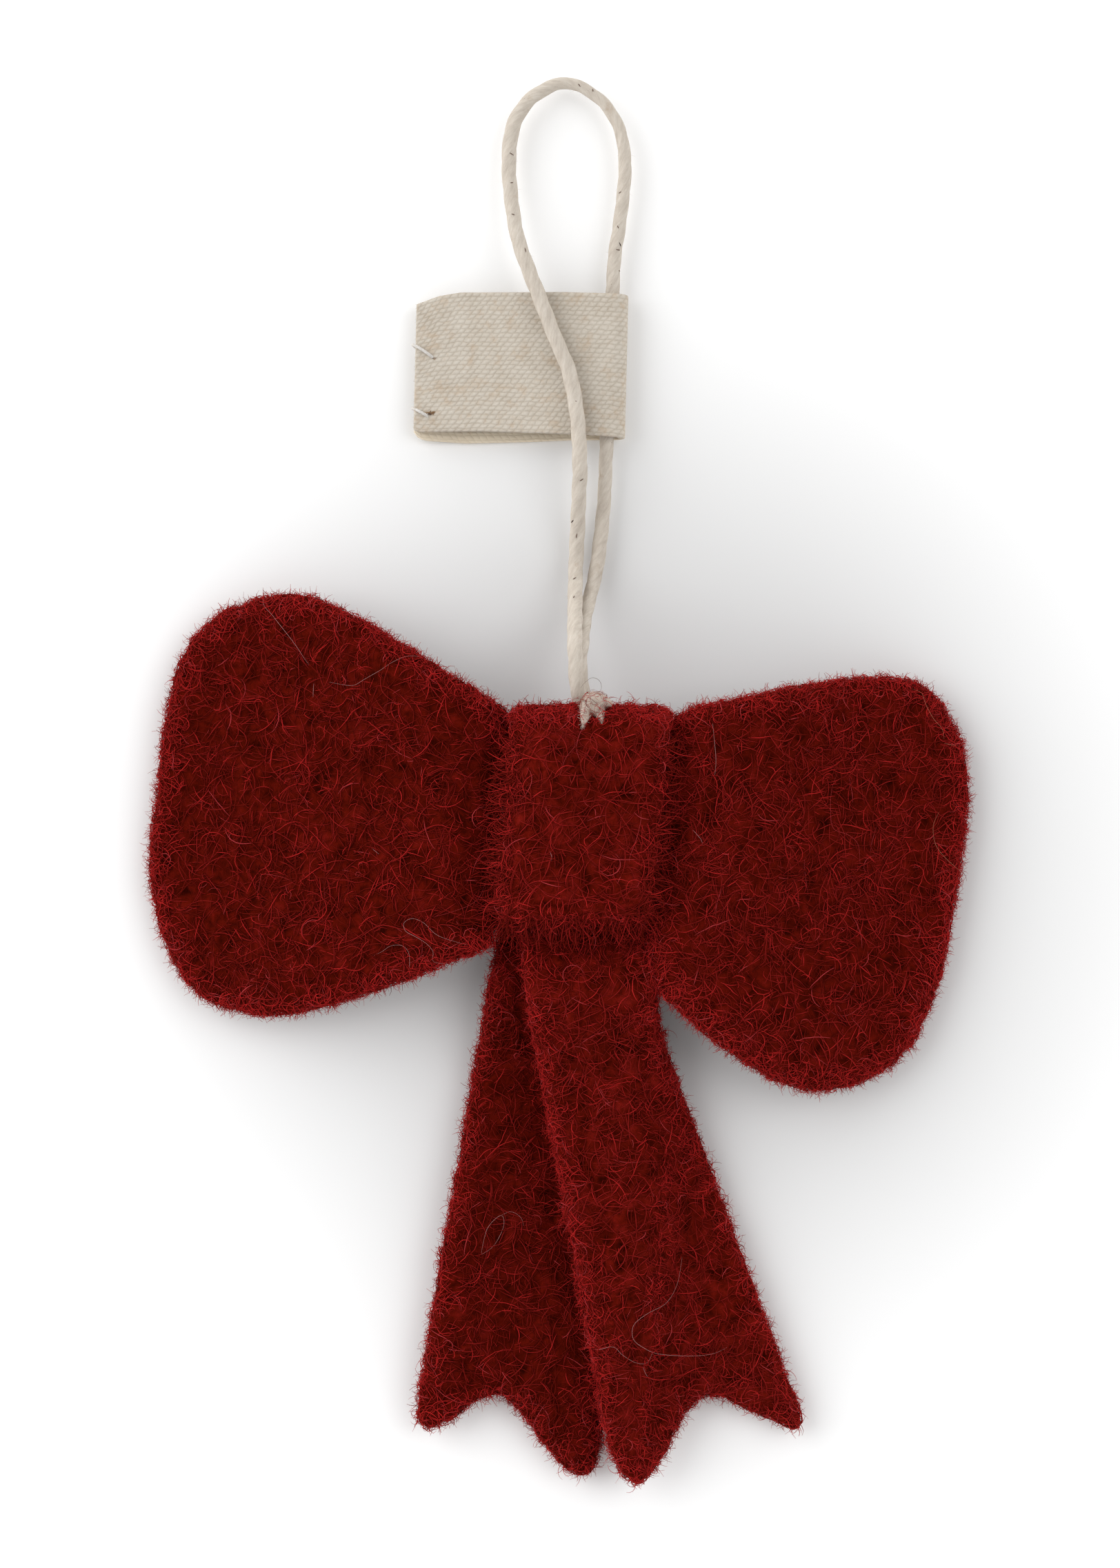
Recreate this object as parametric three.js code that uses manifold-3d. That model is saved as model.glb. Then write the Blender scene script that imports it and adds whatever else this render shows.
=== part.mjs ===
// A felt bow ornament with a string loop and a tape label, lying on its back. Millimetres, +Z up,
// +Y towards the loop, origin under the middle of the felt.
import * as THREE from 'three';
import { mergeVertices } from 'three/addons/utils/BufferGeometryUtils.js';
import Module from 'manifold-3d';

const wasm = await Module();
wasm.setup();

// Felt sheet
const feltThickness = 3.2;
const feltPressed = 2.2; // where it is stitched or squeezed
const pressFade = 4; // distance over which pressed felt swells again
const edgeRounding = 1.5; // how far in from a cut edge the felt rounds over
const edgeFullShare = 0.4; // share of the thickness left at the very edge
const layerGap = 0.3;

// Wings, measured from the middle of the band
const bowReach = 42.6;
const leftWingRise = 24.15;
const leftWingDrop = 19.6;
const rightWingRise = 15.5;
const rightWingDrop = 27.3;

// Band round the waist
const bandThickness = 2.4;
const bandHeight = 25;
const bandWidth = 16.65;
const bandTaper = 0.9; // how much narrower its foot is than its head
const bandOffset = 2.25; // how far it sits right of the middle
const bandLeanShare = 0.08; // sideways lean for each unit of height
const bandCrown = 0.5;
const bandSideGap = 0.5;
const seamGap = 0.5;

// Tails, measured down from the middle of the band
const tailDrop = 68.15;
const tailTopRise = 5; // how far the hidden tops reach above the middle of the band
const leftTailOuterTop = 8.3; // the strips' edges, out from the band's middle line
const leftTailOuterFoot = 18.5;
const leftTailInnerTop = 4.1;
const leftTailInnerFoot = 2;
const rightTailOuterTop = 8;
const rightTailOuterFoot = 25.5;
const rightTailInnerTop = -6.4;
const rightTailInnerFoot = 3.5;
const outerFlareShare = 0.35; // share of the way down where an edge starts to flare
const innerFlareShare = 0.24;
const leftFlareShare = 0.2;
const settleLength = 24; // how far below the band the upper tail takes to come down
const settleWidth = 9;
const tailOverlapMargin = 0.8;

// Stitches in the felt
const threadDiameter = 0.5;
const threadClearance = 0.2;
const threadInset = 0.1; // how deep a stitch sinks into the felt
const seamReach = 1.6;
const seamTurns = 5;
const seamPitch = 2.8;
const tackReach = 1.3;
const tackTurns = 3;
const tackPitch = 2.4;
const tackBelow = 6.5; // below the middle of the band
const tackOffset = 2.2;

// String and its knot
const stringDiameter = 1.57;
const knotAngle = 30; // degrees round the band's top edge
const knotOffset = 1.75; // right of the band's middle
const knotHalfWidth = 1.65;
const knotHalfHeight = 0.9;
const frayDiameter = 1.2;
const fraySpread = 1.9;
const frayLean = 0.35;
const frayEndAngle = 68;
const stemDiameter = 1;
const swingOut = 3.3; // from the band's top edge out to where the string bends
const swingHeight = 10.3;
const strandLeft = 1.6;
const strandRight = 3.5;
const swingGap = 0.5;

// Tape label
const tapeWidth = 15;
const tapeThickness = 0.6;
const labelLength = 21.8;
const labelMiddle = 69.65;
const labelRightEdge = 7.1;
const labelTiltShare = 0.04;
const labelEndGap = 0.3;
const labelEndLift = 0.45;
const labelEndFlat = 4;
const tapeGap = 0.3;
const tapeThread = 0.35;
const tapeThreadClearance = 0.15;
const stitchReach = 1.1;
const stitchInset = 0.5; // from the tape's end to the middle of the stitch
const upperStitchShare = 0.12; // share of the tape's width above its middle
const lowerStitchShare = -0.32;
const stitchSlantShare = 0.5;

const feltRed = 0x540f09;
const feltRedBright = 0x5c100c;
const threadRed = 0x6a1210;
const stringCream = 0xc8beb2;
const tapeCream = 0xc6bdaf;
const threadWhite = 0xe6e1d8;

// Worked out from the sizes above
const bandMiddle = (tailDrop - leftWingRise) / 2; // keeps the origin under the middle of the felt
const bandLow = bandMiddle - bandHeight / 2;
const bandHigh = bandMiddle + bandHeight / 2;
const bandBend = feltPressed / 2 + layerGap + bandThickness / 2; // bend of the strip's middle line
const bandOuter = bandBend + bandThickness / 2;
const waistHeight = 2 * (feltPressed + layerGap) + bandOuter; // above the table
const waistRise = bandHeight / 2 - bandThickness - layerGap;
const bandSideAt = (y, side) => {
  const rise = y - bandMiddle;
  const width = bandWidth + bandTaper * rise / bandHeight;
  return bandOffset + bandLeanShare * rise + side * width / 2;
};

const clampShare = (value) => Math.min(Math.max(value, 0), 1);
const smoothShare = (value) => {
  const share = clampShare(value);
  return share * share * (3 - 2 * share);
};
const blend = (from, to, share) => from + (to - from) * share;

function withRimShares(steps, rimShares) {
  const shares = new Set([0, 1]);
  for (let step = 1; step < steps; step += 1) shares.add(step / steps);
  for (const rim of rimShares) shares.add(rim).add(1 - rim);
  return [...shares].sort((a, b) => a - b);
}

// A closed solid between two faces, each a grid over shares u along the piece and v across it.
function closedSheet(columnShares, rowShares, facesAt) {
  const positions = [];
  for (const u of columnShares) {
    for (const v of rowShares) {
      const [upper, lower] = facesAt(u, v);
      positions.push(...upper, ...lower);
    }
  }
  const rows = rowShares.length;
  const lastColumn = columnShares.length - 1;
  const lastRow = rows - 1;
  const corner = (i, j, side) => 2 * (i * rows + j) + side;
  const indices = [];
  const quad = (a, b, c, d) => indices.push(a, b, c, a, c, d);
  for (let i = 0; i < lastColumn; i += 1) {
    for (let j = 0; j < lastRow; j += 1) {
      quad(corner(i, j, 0), corner(i + 1, j, 0), corner(i + 1, j + 1, 0), corner(i, j + 1, 0));
      quad(corner(i, j, 1), corner(i, j + 1, 1), corner(i + 1, j + 1, 1), corner(i + 1, j, 1));
    }
    quad(corner(i, 0, 1), corner(i + 1, 0, 1), corner(i + 1, 0, 0), corner(i, 0, 0));
    quad(corner(i, lastRow, 0), corner(i + 1, lastRow, 0), corner(i + 1, lastRow, 1), corner(i, lastRow, 1));
  }
  for (let j = 0; j < lastRow; j += 1) {
    quad(corner(0, j, 0), corner(0, j + 1, 0), corner(0, j + 1, 1), corner(0, j, 1));
    quad(corner(lastColumn, j, 1), corner(lastColumn, j + 1, 1), corner(lastColumn, j + 1, 0), corner(lastColumn, j, 0));
  }
  const geometry = new THREE.BufferGeometry();
  geometry.setAttribute('position', new THREE.Float32BufferAttribute(positions, 3));
  geometry.setIndex(indices);
  return geometry;
}

function tubeAlong(points, diameter, sides, steps) {
  const ring = [];
  for (let side = 0; side < sides; side += 1) {
    const angle = side / sides * 2 * Math.PI;
    ring.push(new THREE.Vector2(Math.cos(angle), Math.sin(angle)).multiplyScalar(diameter / 2));
  }
  const extrudePath = new THREE.CatmullRomCurve3(points, false, 'centripetal');
  return new THREE.ExtrudeGeometry(new THREE.Shape(ring), { steps, extrudePath });
}

function solidOf(geometry) {
  const bare = geometry.clone();
  bare.deleteAttribute('normal');
  bare.deleteAttribute('uv');
  const merged = mergeVertices(bare);
  return new wasm.Manifold(new wasm.Mesh({
    numProp: 3,
    vertProperties: Float32Array.from(merged.attributes.position.array),
    triVerts: Uint32Array.from(merged.index.array),
  }));
}

function geometryOf(solid) {
  const mesh = solid.getMesh();
  const geometry = new THREE.BufferGeometry();
  geometry.setAttribute('position', new THREE.BufferAttribute(mesh.vertProperties, 3));
  geometry.setIndex(new THREE.BufferAttribute(mesh.triVerts, 1));
  return geometry;
}

function cutBy(geometry, cutters) {
  let solid = solidOf(geometry);
  for (const cutter of cutters) solid = solid.subtract(solidOf(cutter));
  return geometryOf(solid);
}

function joined(geometries) {
  let solid = solidOf(geometries[0]);
  for (const other of geometries.slice(1)) solid = solid.add(solidOf(other));
  return geometryOf(solid);
}

// Felt pieces: four outline curves, a thickness and a height for their middle surface

function outlineBlend(curves) {
  const { low, high, left, right } = curves;
  return (u, v) => {
    const point = low(u).clone().multiplyScalar(1 - v).addScaledVector(high(u), v);
    point.addScaledVector(left(v), 1 - u).addScaledVector(right(v), u);
    point.addScaledVector(low(0), -(1 - u) * (1 - v)).addScaledVector(low(1), -u * (1 - v));
    return point.addScaledVector(high(0), -(1 - u) * v).addScaledVector(high(1), -u * v);
  };
}

function outlineSegments(curves, columnShares, rowShares) {
  const runs = [
    columnShares.map((u) => curves.low(u)),
    columnShares.map((u) => curves.high(u)),
    rowShares.map((v) => curves.left(v)),
    rowShares.map((v) => curves.right(v)),
  ];
  return runs.flatMap((run) => run.slice(1).map((point, index) => [run[index], point]));
}

function distanceToOutline(point, segments) {
  let nearest = Infinity;
  for (const [start, end] of segments) {
    const along = end.clone().sub(start);
    const share = clampShare(point.clone().sub(start).dot(along) / Math.max(along.lengthSq(), Number.EPSILON));
    nearest = Math.min(nearest, point.distanceTo(start.clone().addScaledVector(along, share)));
  }
  return nearest;
}

function fullnessAt(distance, rounding) {
  const inset = 1 - clampShare(distance / rounding);
  return blend(edgeFullShare, 1, Math.sqrt(1 - inset * inset));
}

function feltPiece({ curves, columnShares, rowShares, thicknessAt, heightAt }) {
  const place = outlineBlend(curves);
  const segments = outlineSegments(curves, columnShares, rowShares);
  return closedSheet(columnShares, rowShares, (u, v) => {
    const point = place(u, v);
    const thickness = thicknessAt(point);
    const half = thickness / 2 * fullnessAt(distanceToOutline(point, segments), edgeRounding);
    const height = heightAt(point, thickness);
    return [[point.x, point.y, height + half], [point.x, point.y, height - half]];
  });
}

const curveThrough = (points) => {
  const curve = new THREE.SplineCurve(points);
  return (share) => curve.getPoint(share);
};
const lineBetween = (start, end) => (share) => start.clone().lerp(end, share);

// Shares of the wing's reach out from the band, and of its rise or drop from the middle of the band:
// upper edge out, upper edge up, lower edge out, lower edge down
const leftWingShares = [
  [1, -0.1, 1, 0.27],
  [0.978, 0.174, 0.98, 0.46],
  [0.95, 0.5, 0.945, 0.65],
  [0.905, 0.735, 0.895, 0.815],
  [0.83, 0.885, 0.82, 0.93],
  [0.727, 0.965, 0.72, 0.98],
  [0.605, 1, 0.6, 1],
  [0.455, 0.932, 0.44, 0.932],
  [0.25, 0.745, 0.24, 0.81],
  [0.09, 0.59, 0.09, 0.69],
  [0.03, 0.515, 0.03, 0.645],
  [0.004, 0.47, 0.004, 0.6],
];
const rightWingShares = [
  [0.003, 0.69, 0.003, 0.38],
  [0.025, 0.745, 0.012, 0.5],
  [0.06, 0.785, 0.037, 0.604],
  [0.18, 0.848, 0.14, 0.736],
  [0.37, 0.922, 0.3, 0.885],
  [0.55, 0.985, 0.45, 0.985],
  [0.7, 1, 0.58, 1],
  [0.82, 0.965, 0.72, 0.945],
  [0.9, 0.85, 0.83, 0.82],
  [0.96, 0.65, 0.91, 0.58],
  [0.993, 0.46, 0.96, 0.27],
  [1, 0.2, 0.99, 0.04],
];

function wingPoints(wingShares, side, rise, drop) {
  const edgePoint = (out, y) => {
    const root = bandSideAt(y, side) + side * bandSideGap;
    return new THREE.Vector2(blend(root, side * bowReach, out), y);
  };
  return wingShares.map(([outHigh, up, outLow, down]) => [
    edgePoint(outHigh, bandMiddle + rise * up),
    edgePoint(outLow, bandMiddle - drop * down),
  ]);
}

function waistPoints() {
  const high = bandMiddle + waistRise;
  const low = bandMiddle - waistRise;
  const sides = [-1, 1].map((side) => [
    new THREE.Vector2(bandSideAt(high, side) + side * bandSideGap, high),
    new THREE.Vector2(bandSideAt(low, side) + side * bandSideGap, low),
  ]);
  const middle = [sides[0][0].clone().lerp(sides[1][0], 1 / 2), sides[0][1].clone().lerp(sides[1][1], 1 / 2)];
  return [sides[0], middle, sides[1]];
}

function wingShareAt(point) {
  const leftOut = (bandSideAt(point.y, -1) - point.x) / (bowReach + bandSideAt(bandMiddle, -1));
  const rightOut = (point.x - bandSideAt(point.y, 1)) / (bowReach - bandSideAt(bandMiddle, 1));
  return clampShare(Math.max(leftOut, rightOut));
}

function bowBody() {
  const pairs = [
    ...wingPoints(leftWingShares, -1, leftWingRise, leftWingDrop),
    ...waistPoints(),
    ...wingPoints(rightWingShares, 1, rightWingRise, rightWingDrop),
  ];
  const first = pairs[0];
  const last = pairs[pairs.length - 1];
  const wingReach = bowReach - bandWidth / 2;
  return feltPiece({
    curves: {
      low: curveThrough(pairs.map((pair) => pair[1])),
      high: curveThrough(pairs.map((pair) => pair[0])),
      left: lineBetween(first[1], first[0]),
      right: lineBetween(last[1], last[0]),
    },
    columnShares: withRimShares(2 * (pairs.length - 1), []),
    rowShares: withRimShares(6, [0.008, 0.03, 0.075]),
    thicknessAt: (point) => blend(feltPressed, feltThickness, smoothShare(wingShareAt(point) * wingReach / pressFade)),
    heightAt: (point) => blend(waistHeight, feltThickness / 2, smoothShare(wingShareAt(point))),
  });
}

// Swallow-tail ends: shares across the strip, and shares of the tail's drop lost from its longest tip
const leftEndShares = [
  [0, 0.105],
  [0.055, 0.085],
  [0.13, 0.081],
  [0.29, 0.117],
  [0.42, 0.136],
  [0.5, 0.12],
  [0.62, 0.086],
  [0.735, 0.045],
  [0.84, 0.016],
  [0.93, 0.008],
  [1, 0.035],
];
const rightEndShares = [
  [0, 0.068],
  [0.04, 0.024],
  [0.11, 0],
  [0.19, 0.018],
  [0.28, 0.048],
  [0.41, 0.1],
  [0.56, 0.133],
  [0.7, 0.115],
  [0.85, 0.09],
  [0.96, 0.078],
  [1, 0.098],
];
const tailTopY = bandMiddle + tailTopRise;
const tailEndY = bandMiddle - tailDrop;
const tailThicknessAt = (y) => blend(feltPressed, feltThickness, smoothShare((bandLow - y) / pressFade));
const downShareAt = (y) => clampShare((tailTopY - y) / (tailTopY - tailEndY));

const tailEdge = (top, foot, flareShare) => (y) => {
  const flared = clampShare((downShareAt(y) - flareShare) / (1 - flareShare));
  return bandOffset + blend(top, foot, flared);
};
const leftTailEdges = [
  tailEdge(-leftTailOuterTop, -leftTailOuterFoot, leftFlareShare),
  tailEdge(leftTailInnerTop, leftTailInnerFoot, 0),
];
const rightTailEdges = [
  tailEdge(rightTailInnerTop, rightTailInnerFoot, innerFlareShare),
  tailEdge(rightTailOuterTop, rightTailOuterFoot, outerFlareShare),
];

function tailHeightAbove(point, thickness) {
  const lifted = layerGap + thickness * 3 / 2;
  const behindBand = smoothShare(1 - (bandLow - point.y) / settleLength);
  const past = point.x - leftTailEdges[1](point.y) - tailOverlapMargin;
  const beside = 1 - smoothShare(past / settleWidth);
  return blend(thickness / 2, lifted, Math.max(behindBand, beside));
}

function tail(endShares, [leftEdge, rightEdge], heightAt) {
  const end = endShares.map(([across, up]) => {
    const y = tailEndY + tailDrop * up;
    return new THREE.Vector2(blend(leftEdge(y), rightEdge(y), across), y);
  });
  const edgeUp = (edge, from) => (share) => {
    const y = blend(from.y, tailTopY, share);
    return new THREE.Vector2(edge(y), y);
  };
  const left = edgeUp(leftEdge, end[0]);
  const right = edgeUp(rightEdge, end[end.length - 1]);
  return feltPiece({
    curves: { low: curveThrough(end), high: lineBetween(left(1), right(1)), left, right },
    columnShares: withRimShares(2 * (end.length - 1), [0.015]),
    rowShares: withRimShares(16, [0.006, 0.018]),
    thicknessAt: (point) => tailThicknessAt(point.y),
    heightAt,
  });
}

// The band: a strip bent round the waist, its two ends butted at the back

function bandLoop() {
  const lowBend = bandLow + bandOuter;
  const highBend = bandHigh - bandOuter;
  const loop = new THREE.Path();
  loop.moveTo(bandMiddle + seamGap / 2, waistHeight - bandBend);
  loop.lineTo(highBend, waistHeight - bandBend);
  loop.absarc(highBend, waistHeight, bandBend, -Math.PI / 2, Math.PI / 2, false);
  loop.lineTo(lowBend, waistHeight + bandBend);
  loop.absarc(lowBend, waistHeight, bandBend, Math.PI / 2, Math.PI * 3 / 2, false);
  loop.lineTo(bandMiddle - seamGap / 2, waistHeight - bandBend);
  return loop;
}

function bandStrip() {
  const loop = bandLoop();
  const length = loop.getLength();
  return closedSheet(withRimShares(46, [0.006]), withRimShares(4, [0.03, 0.09]), (u, v) => {
    const point = loop.getPointAt(u);
    const tangent = loop.getTangentAt(u);
    const outward = new THREE.Vector2(tangent.y, -tangent.x);
    const width = bandSideAt(point.x, 1) - bandSideAt(point.x, -1);
    const fromCut = Math.min(v * width, (1 - v) * width, u * length, (1 - u) * length);
    const half = bandThickness / 2 * fullnessAt(fromCut, edgeRounding);
    const across = 2 * v - 1;
    const crown = bandCrown * Math.max(outward.y, 0) * (1 - across * across);
    const x = blend(bandSideAt(point.x, -1), bandSideAt(point.x, 1), v);
    const outer = point.clone().addScaledVector(outward, half + crown);
    const inner = point.clone().addScaledVector(outward, -half);
    return [[x, outer.x, outer.y], [x, inner.x, inner.y]];
  });
}

// Whip stitches: a flattened helix along X through the layers
function whipStitch({ middle, reach, halfHeight, turns, pitch, diameter, sides }) {
  const stepsPerTurn = 10;
  const points = [];
  for (let step = 0; step <= turns * stepsPerTurn; step += 1) {
    const turn = step / stepsPerTurn;
    const angle = turn * 2 * Math.PI;
    points.push(new THREE.Vector3(
      middle.x + (turn - turns / 2) * pitch,
      middle.y + reach * Math.cos(angle),
      middle.z + halfHeight * Math.sin(angle),
    ));
  }
  return tubeAlong(points, diameter, sides, points.length - 1);
}

const threadDepth = threadInset + threadDiameter / 2;
const seamStitch = {
  middle: new THREE.Vector3(bandOffset, bandMiddle, waistHeight - bandBend),
  reach: seamReach,
  halfHeight: bandThickness / 2 - threadDepth,
  turns: seamTurns,
  pitch: seamPitch,
};
const backStackHeight = waistHeight - bandBend + bandThickness / 2; // tails and the band's back layer
const tackStitch = {
  middle: new THREE.Vector3(tackOffset, bandMiddle - tackBelow, backStackHeight / 2),
  reach: tackReach,
  halfHeight: backStackHeight / 2 - threadDepth,
  turns: tackTurns,
  pitch: tackPitch,
};
const threadOf = (stitch) => whipStitch({ ...stitch, diameter: threadDiameter, sides: 6 });
const holeOf = (stitch) => whipStitch({ ...stitch, diameter: threadDiameter + 2 * threadClearance, sides: 6 });

// The knot on the band's top edge, its frayed ends, and the end pulled through the band

const knotX = bandOffset + knotOffset;
const bendY = bandHigh - bandOuter;
const aroundEdge = (x, distance, degrees) => {
  const angle = THREE.MathUtils.degToRad(degrees);
  return new THREE.Vector3(x, bendY + distance * Math.cos(angle), waistHeight + distance * Math.sin(angle));
};
const bandFaceAt = (degrees) => bandOuter + bandCrown * Math.sin(THREE.MathUtils.degToRad(degrees));
const knotDistance = bandFaceAt(knotAngle) + layerGap + knotHalfHeight;
const knotMiddle = aroundEdge(knotX, knotDistance, knotAngle);
const swingY = bandHigh + swingOut;
const swingPoint = (x) => new THREE.Vector3(x, swingY, swingHeight);

function knotStem(diameter, reachIn) {
  const length = knotDistance - reachIn;
  const stem = new THREE.CylinderGeometry(diameter / 2, diameter / 2, length, 12);
  stem.rotateX(THREE.MathUtils.degToRad(knotAngle));
  const middle = aroundEdge(knotX, knotDistance - length / 2, knotAngle);
  return stem.translate(middle.x, middle.y, middle.z);
}

function knot() {
  const blob = new THREE.SphereGeometry(1, 16, 10);
  blob.scale(knotHalfWidth, knotHalfHeight, knotHalfHeight);
  blob.translate(knotMiddle.x, knotMiddle.y, knotMiddle.z);
  const pieces = [blob];
  const fraySteps = 3;
  for (const side of [-1, 1]) {
    const points = [];
    for (let step = 0; step <= fraySteps; step += 1) {
      const share = step / fraySteps;
      const x = knotX + side * blend(fraySpread / 2 - frayLean, fraySpread / 2, share);
      const degrees = blend(knotAngle, frayEndAngle, share);
      points.push(aroundEdge(x, bandFaceAt(degrees) + layerGap + frayDiameter / 2, degrees));
    }
    pieces.push(tubeAlong(points, frayDiameter, 8, 6));
  }
  for (const x of [strandLeft, strandRight]) {
    const end = swingPoint(x);
    const start = knotMiddle.clone().lerp(new THREE.Vector3(x, knotMiddle.y, knotMiddle.z), 1 / 2);
    const between = end.clone().lerp(start, 1 / 2);
    between.x = blend(end.x, start.x, 1 / 4);
    pieces.push(tubeAlong([end, between, start], stringDiameter, 8, 4));
    const bead = new THREE.SphereGeometry(stringDiameter / 2, 12, 8);
    pieces.push(bead.translate(end.x, end.y, end.z));
  }
  pieces.push(knotStem(stemDiameter, bandOuter - bandThickness));
  return joined(pieces);
}

// Where the string lies, from the knot up the right strand, round the loop and down the left strand
const stringStart = swingY + stringDiameter / 2 + swingGap;
const stringRoute = [
  [strandRight, stringStart, 10.15],
  [3.4, 40.3, 9.3],
  [3.15, 42, 6.9],
  [3.1, 44, 3.9],
  [3.5, 46.4, 1.65],
  [4.0, 49.2, 0.8],
  [4.5, 53.4, 0.8],
  [4.75, 56.4, 1.25],
  [4.87, 59.4, 1.69],
  [5.28, 69.65, 1.69],
  [5.69, 80, 1.69],
  [6.15, 83.6, 1.2],
  [6.65, 87.8, 0.8],
  [6.8, 91.2, 0.8],
  [6.15, 94.6, 0.8],
  [4.15, 97.4, 0.8],
  [0.8, 98.9, 0.8],
  [-2.6, 97.6, 0.8],
  [-4.6, 94.8, 0.8],
  [-5.15, 91.1, 0.8],
  [-4.9, 87, 1.4],
  [-4.3, 83.2, 3],
  [-3.35, 80.3, 3.78],
  [-2.1, 77.1, 3.93],
  [-0.35, 72.6, 4.08],
  [1.07, 69.1, 4.22],
  [1.93, 64.4, 4.3],
  [2.2, 59.4, 4.3],
  [2.1, 56.2, 3.4],
  [1.95, 52.6, 2.2],
  [1.75, 49, 2.1],
  [1.7, 46.2, 3.6],
  [1.7, 43.9, 6.2],
  [1.65, 41.9, 8.5],
  [1.6, 40.4, 9.8],
  [strandLeft, stringStart, 10.25],
];

function stringLoop() {
  const points = stringRoute.map((place) => new THREE.Vector3(...place));
  return tubeAlong(points, stringDiameter, 8, 76);
}

// The label: tape laid double round one strand, its ends stitched together at the left

const foldRise = tapeThickness + 2 * tapeGap + stringDiameter; // between the two layers' middle lines
const labelX = (x, y) => x + labelTiltShare * (y - labelMiddle);

function labelProfile() {
  const leftEnd = labelRightEdge - labelLength;
  const foldX = labelRightEdge - tapeThickness / 2 - foldRise / 2;
  const low = tapeThickness / 2;
  const endLow = low + labelEndLift;
  const endHigh = endLow + tapeThickness + labelEndGap;
  const profile = new THREE.Path();
  profile.moveTo(leftEnd, endLow);
  profile.lineTo(leftEnd + labelEndFlat, low);
  profile.lineTo(foldX, low);
  profile.absarc(foldX, low + foldRise / 2, foldRise / 2, -Math.PI / 2, Math.PI / 2, false);
  profile.lineTo(foldX - stringDiameter, low + foldRise);
  profile.lineTo(leftEnd, endHigh);
  return profile;
}

function labelTape() {
  const profile = labelProfile();
  const firstY = labelMiddle - tapeWidth / 2;
  return closedSheet(withRimShares(44, []), withRimShares(2, []), (u, v) => {
    const point = profile.getPointAt(u);
    const tangent = profile.getTangentAt(u);
    const inward = new THREE.Vector2(-tangent.y, tangent.x).multiplyScalar(tapeThickness / 2);
    const y = firstY + tapeWidth * v;
    const inner = point.clone().add(inward);
    const outer = point.clone().sub(inward);
    return [[labelX(inner.x, y), y, inner.y], [labelX(outer.x, y), y, outer.y]];
  });
}

function labelStitch(share, diameter) {
  const lowRun = tapeThread / 2 + threadInset / 2;
  const highRun = labelEndLift + labelEndGap + 2 * tapeThickness + tapeThread;
  const y = labelMiddle + share * tapeWidth;
  const ring = new THREE.TorusGeometry(1, diameter / 2, 6, 20);
  const place = ring.attributes.position;
  const middleX = labelX(labelRightEdge - labelLength, y) + stitchInset;
  for (let index = 0; index < place.count; index += 1) {
    const around = Math.hypot(place.getX(index), place.getY(index));
    const cos = place.getX(index) / around;
    const sin = place.getY(index) / around;
    const outX = stitchReach + around - 1;
    const outZ = (highRun - lowRun) / 2 + around - 1;
    const x = outX * cos;
    place.setXYZ(index, middleX + x, y - place.getZ(index) - x * stitchSlantShare, (highRun + lowRun) / 2 + outZ * sin);
  }
  return ring;
}

// Surfaces

const finishes = {
  felt: new THREE.MeshStandardMaterial({ color: feltRed, roughness: 1, metalness: 0 }),
  feltBright: new THREE.MeshStandardMaterial({ color: feltRedBright, roughness: 1, metalness: 0 }),
  redThread: new THREE.MeshStandardMaterial({ color: threadRed, roughness: 0.8, metalness: 0 }),
  string: new THREE.MeshStandardMaterial({ color: stringCream, roughness: 0.95, metalness: 0 }),
  tape: new THREE.MeshStandardMaterial({ color: tapeCream, roughness: 0.95, metalness: 0 }),
  whiteThread: new THREE.MeshStandardMaterial({ color: threadWhite, roughness: 0.85, metalness: 0 }),
};

const ornament = new THREE.Group();
function place(name, geometry, finish) {
  const mesh = new THREE.Mesh(geometry, finishes[finish].clone());
  mesh.name = name;
  ornament.add(mesh);
}

place('bow_body', bowBody(), 'felt');
place('center_band', cutBy(bandStrip(), [
  holeOf(seamStitch),
  holeOf(tackStitch),
  knotStem(stemDiameter + 2 * layerGap, 0),
]), 'feltBright');
const lowerTail = tail(leftEndShares, leftTailEdges, (point, thickness) => thickness / 2);
const upperTail = tail(rightEndShares, rightTailEdges, tailHeightAbove);
place('left_tail', cutBy(lowerTail, [holeOf(tackStitch)]), 'felt');
place('right_tail', cutBy(upperTail, [holeOf(tackStitch)]), 'feltBright');
place('band_seam_thread', threadOf(seamStitch), 'redThread');
place('tail_tack_thread', threadOf(tackStitch), 'redThread');
place('string_knot', knot(), 'string');
place('hanging_string', stringLoop(), 'string');
const stitchHole = tapeThread + 2 * tapeThreadClearance;
place('label_tape', cutBy(labelTape(), [
  labelStitch(upperStitchShare, stitchHole),
  labelStitch(lowerStitchShare, stitchHole),
]), 'tape');
place('label_stitch_upper', labelStitch(upperStitchShare, tapeThread), 'whiteThread');
place('label_stitch_lower', labelStitch(lowerStitchShare, tapeThread), 'whiteThread');

export default ornament;
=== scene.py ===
import math

import bmesh
import bpy
import numpy as np
from mathutils import Matrix, Vector, noise
from mathutils.bvhtree import BVHTree


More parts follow.
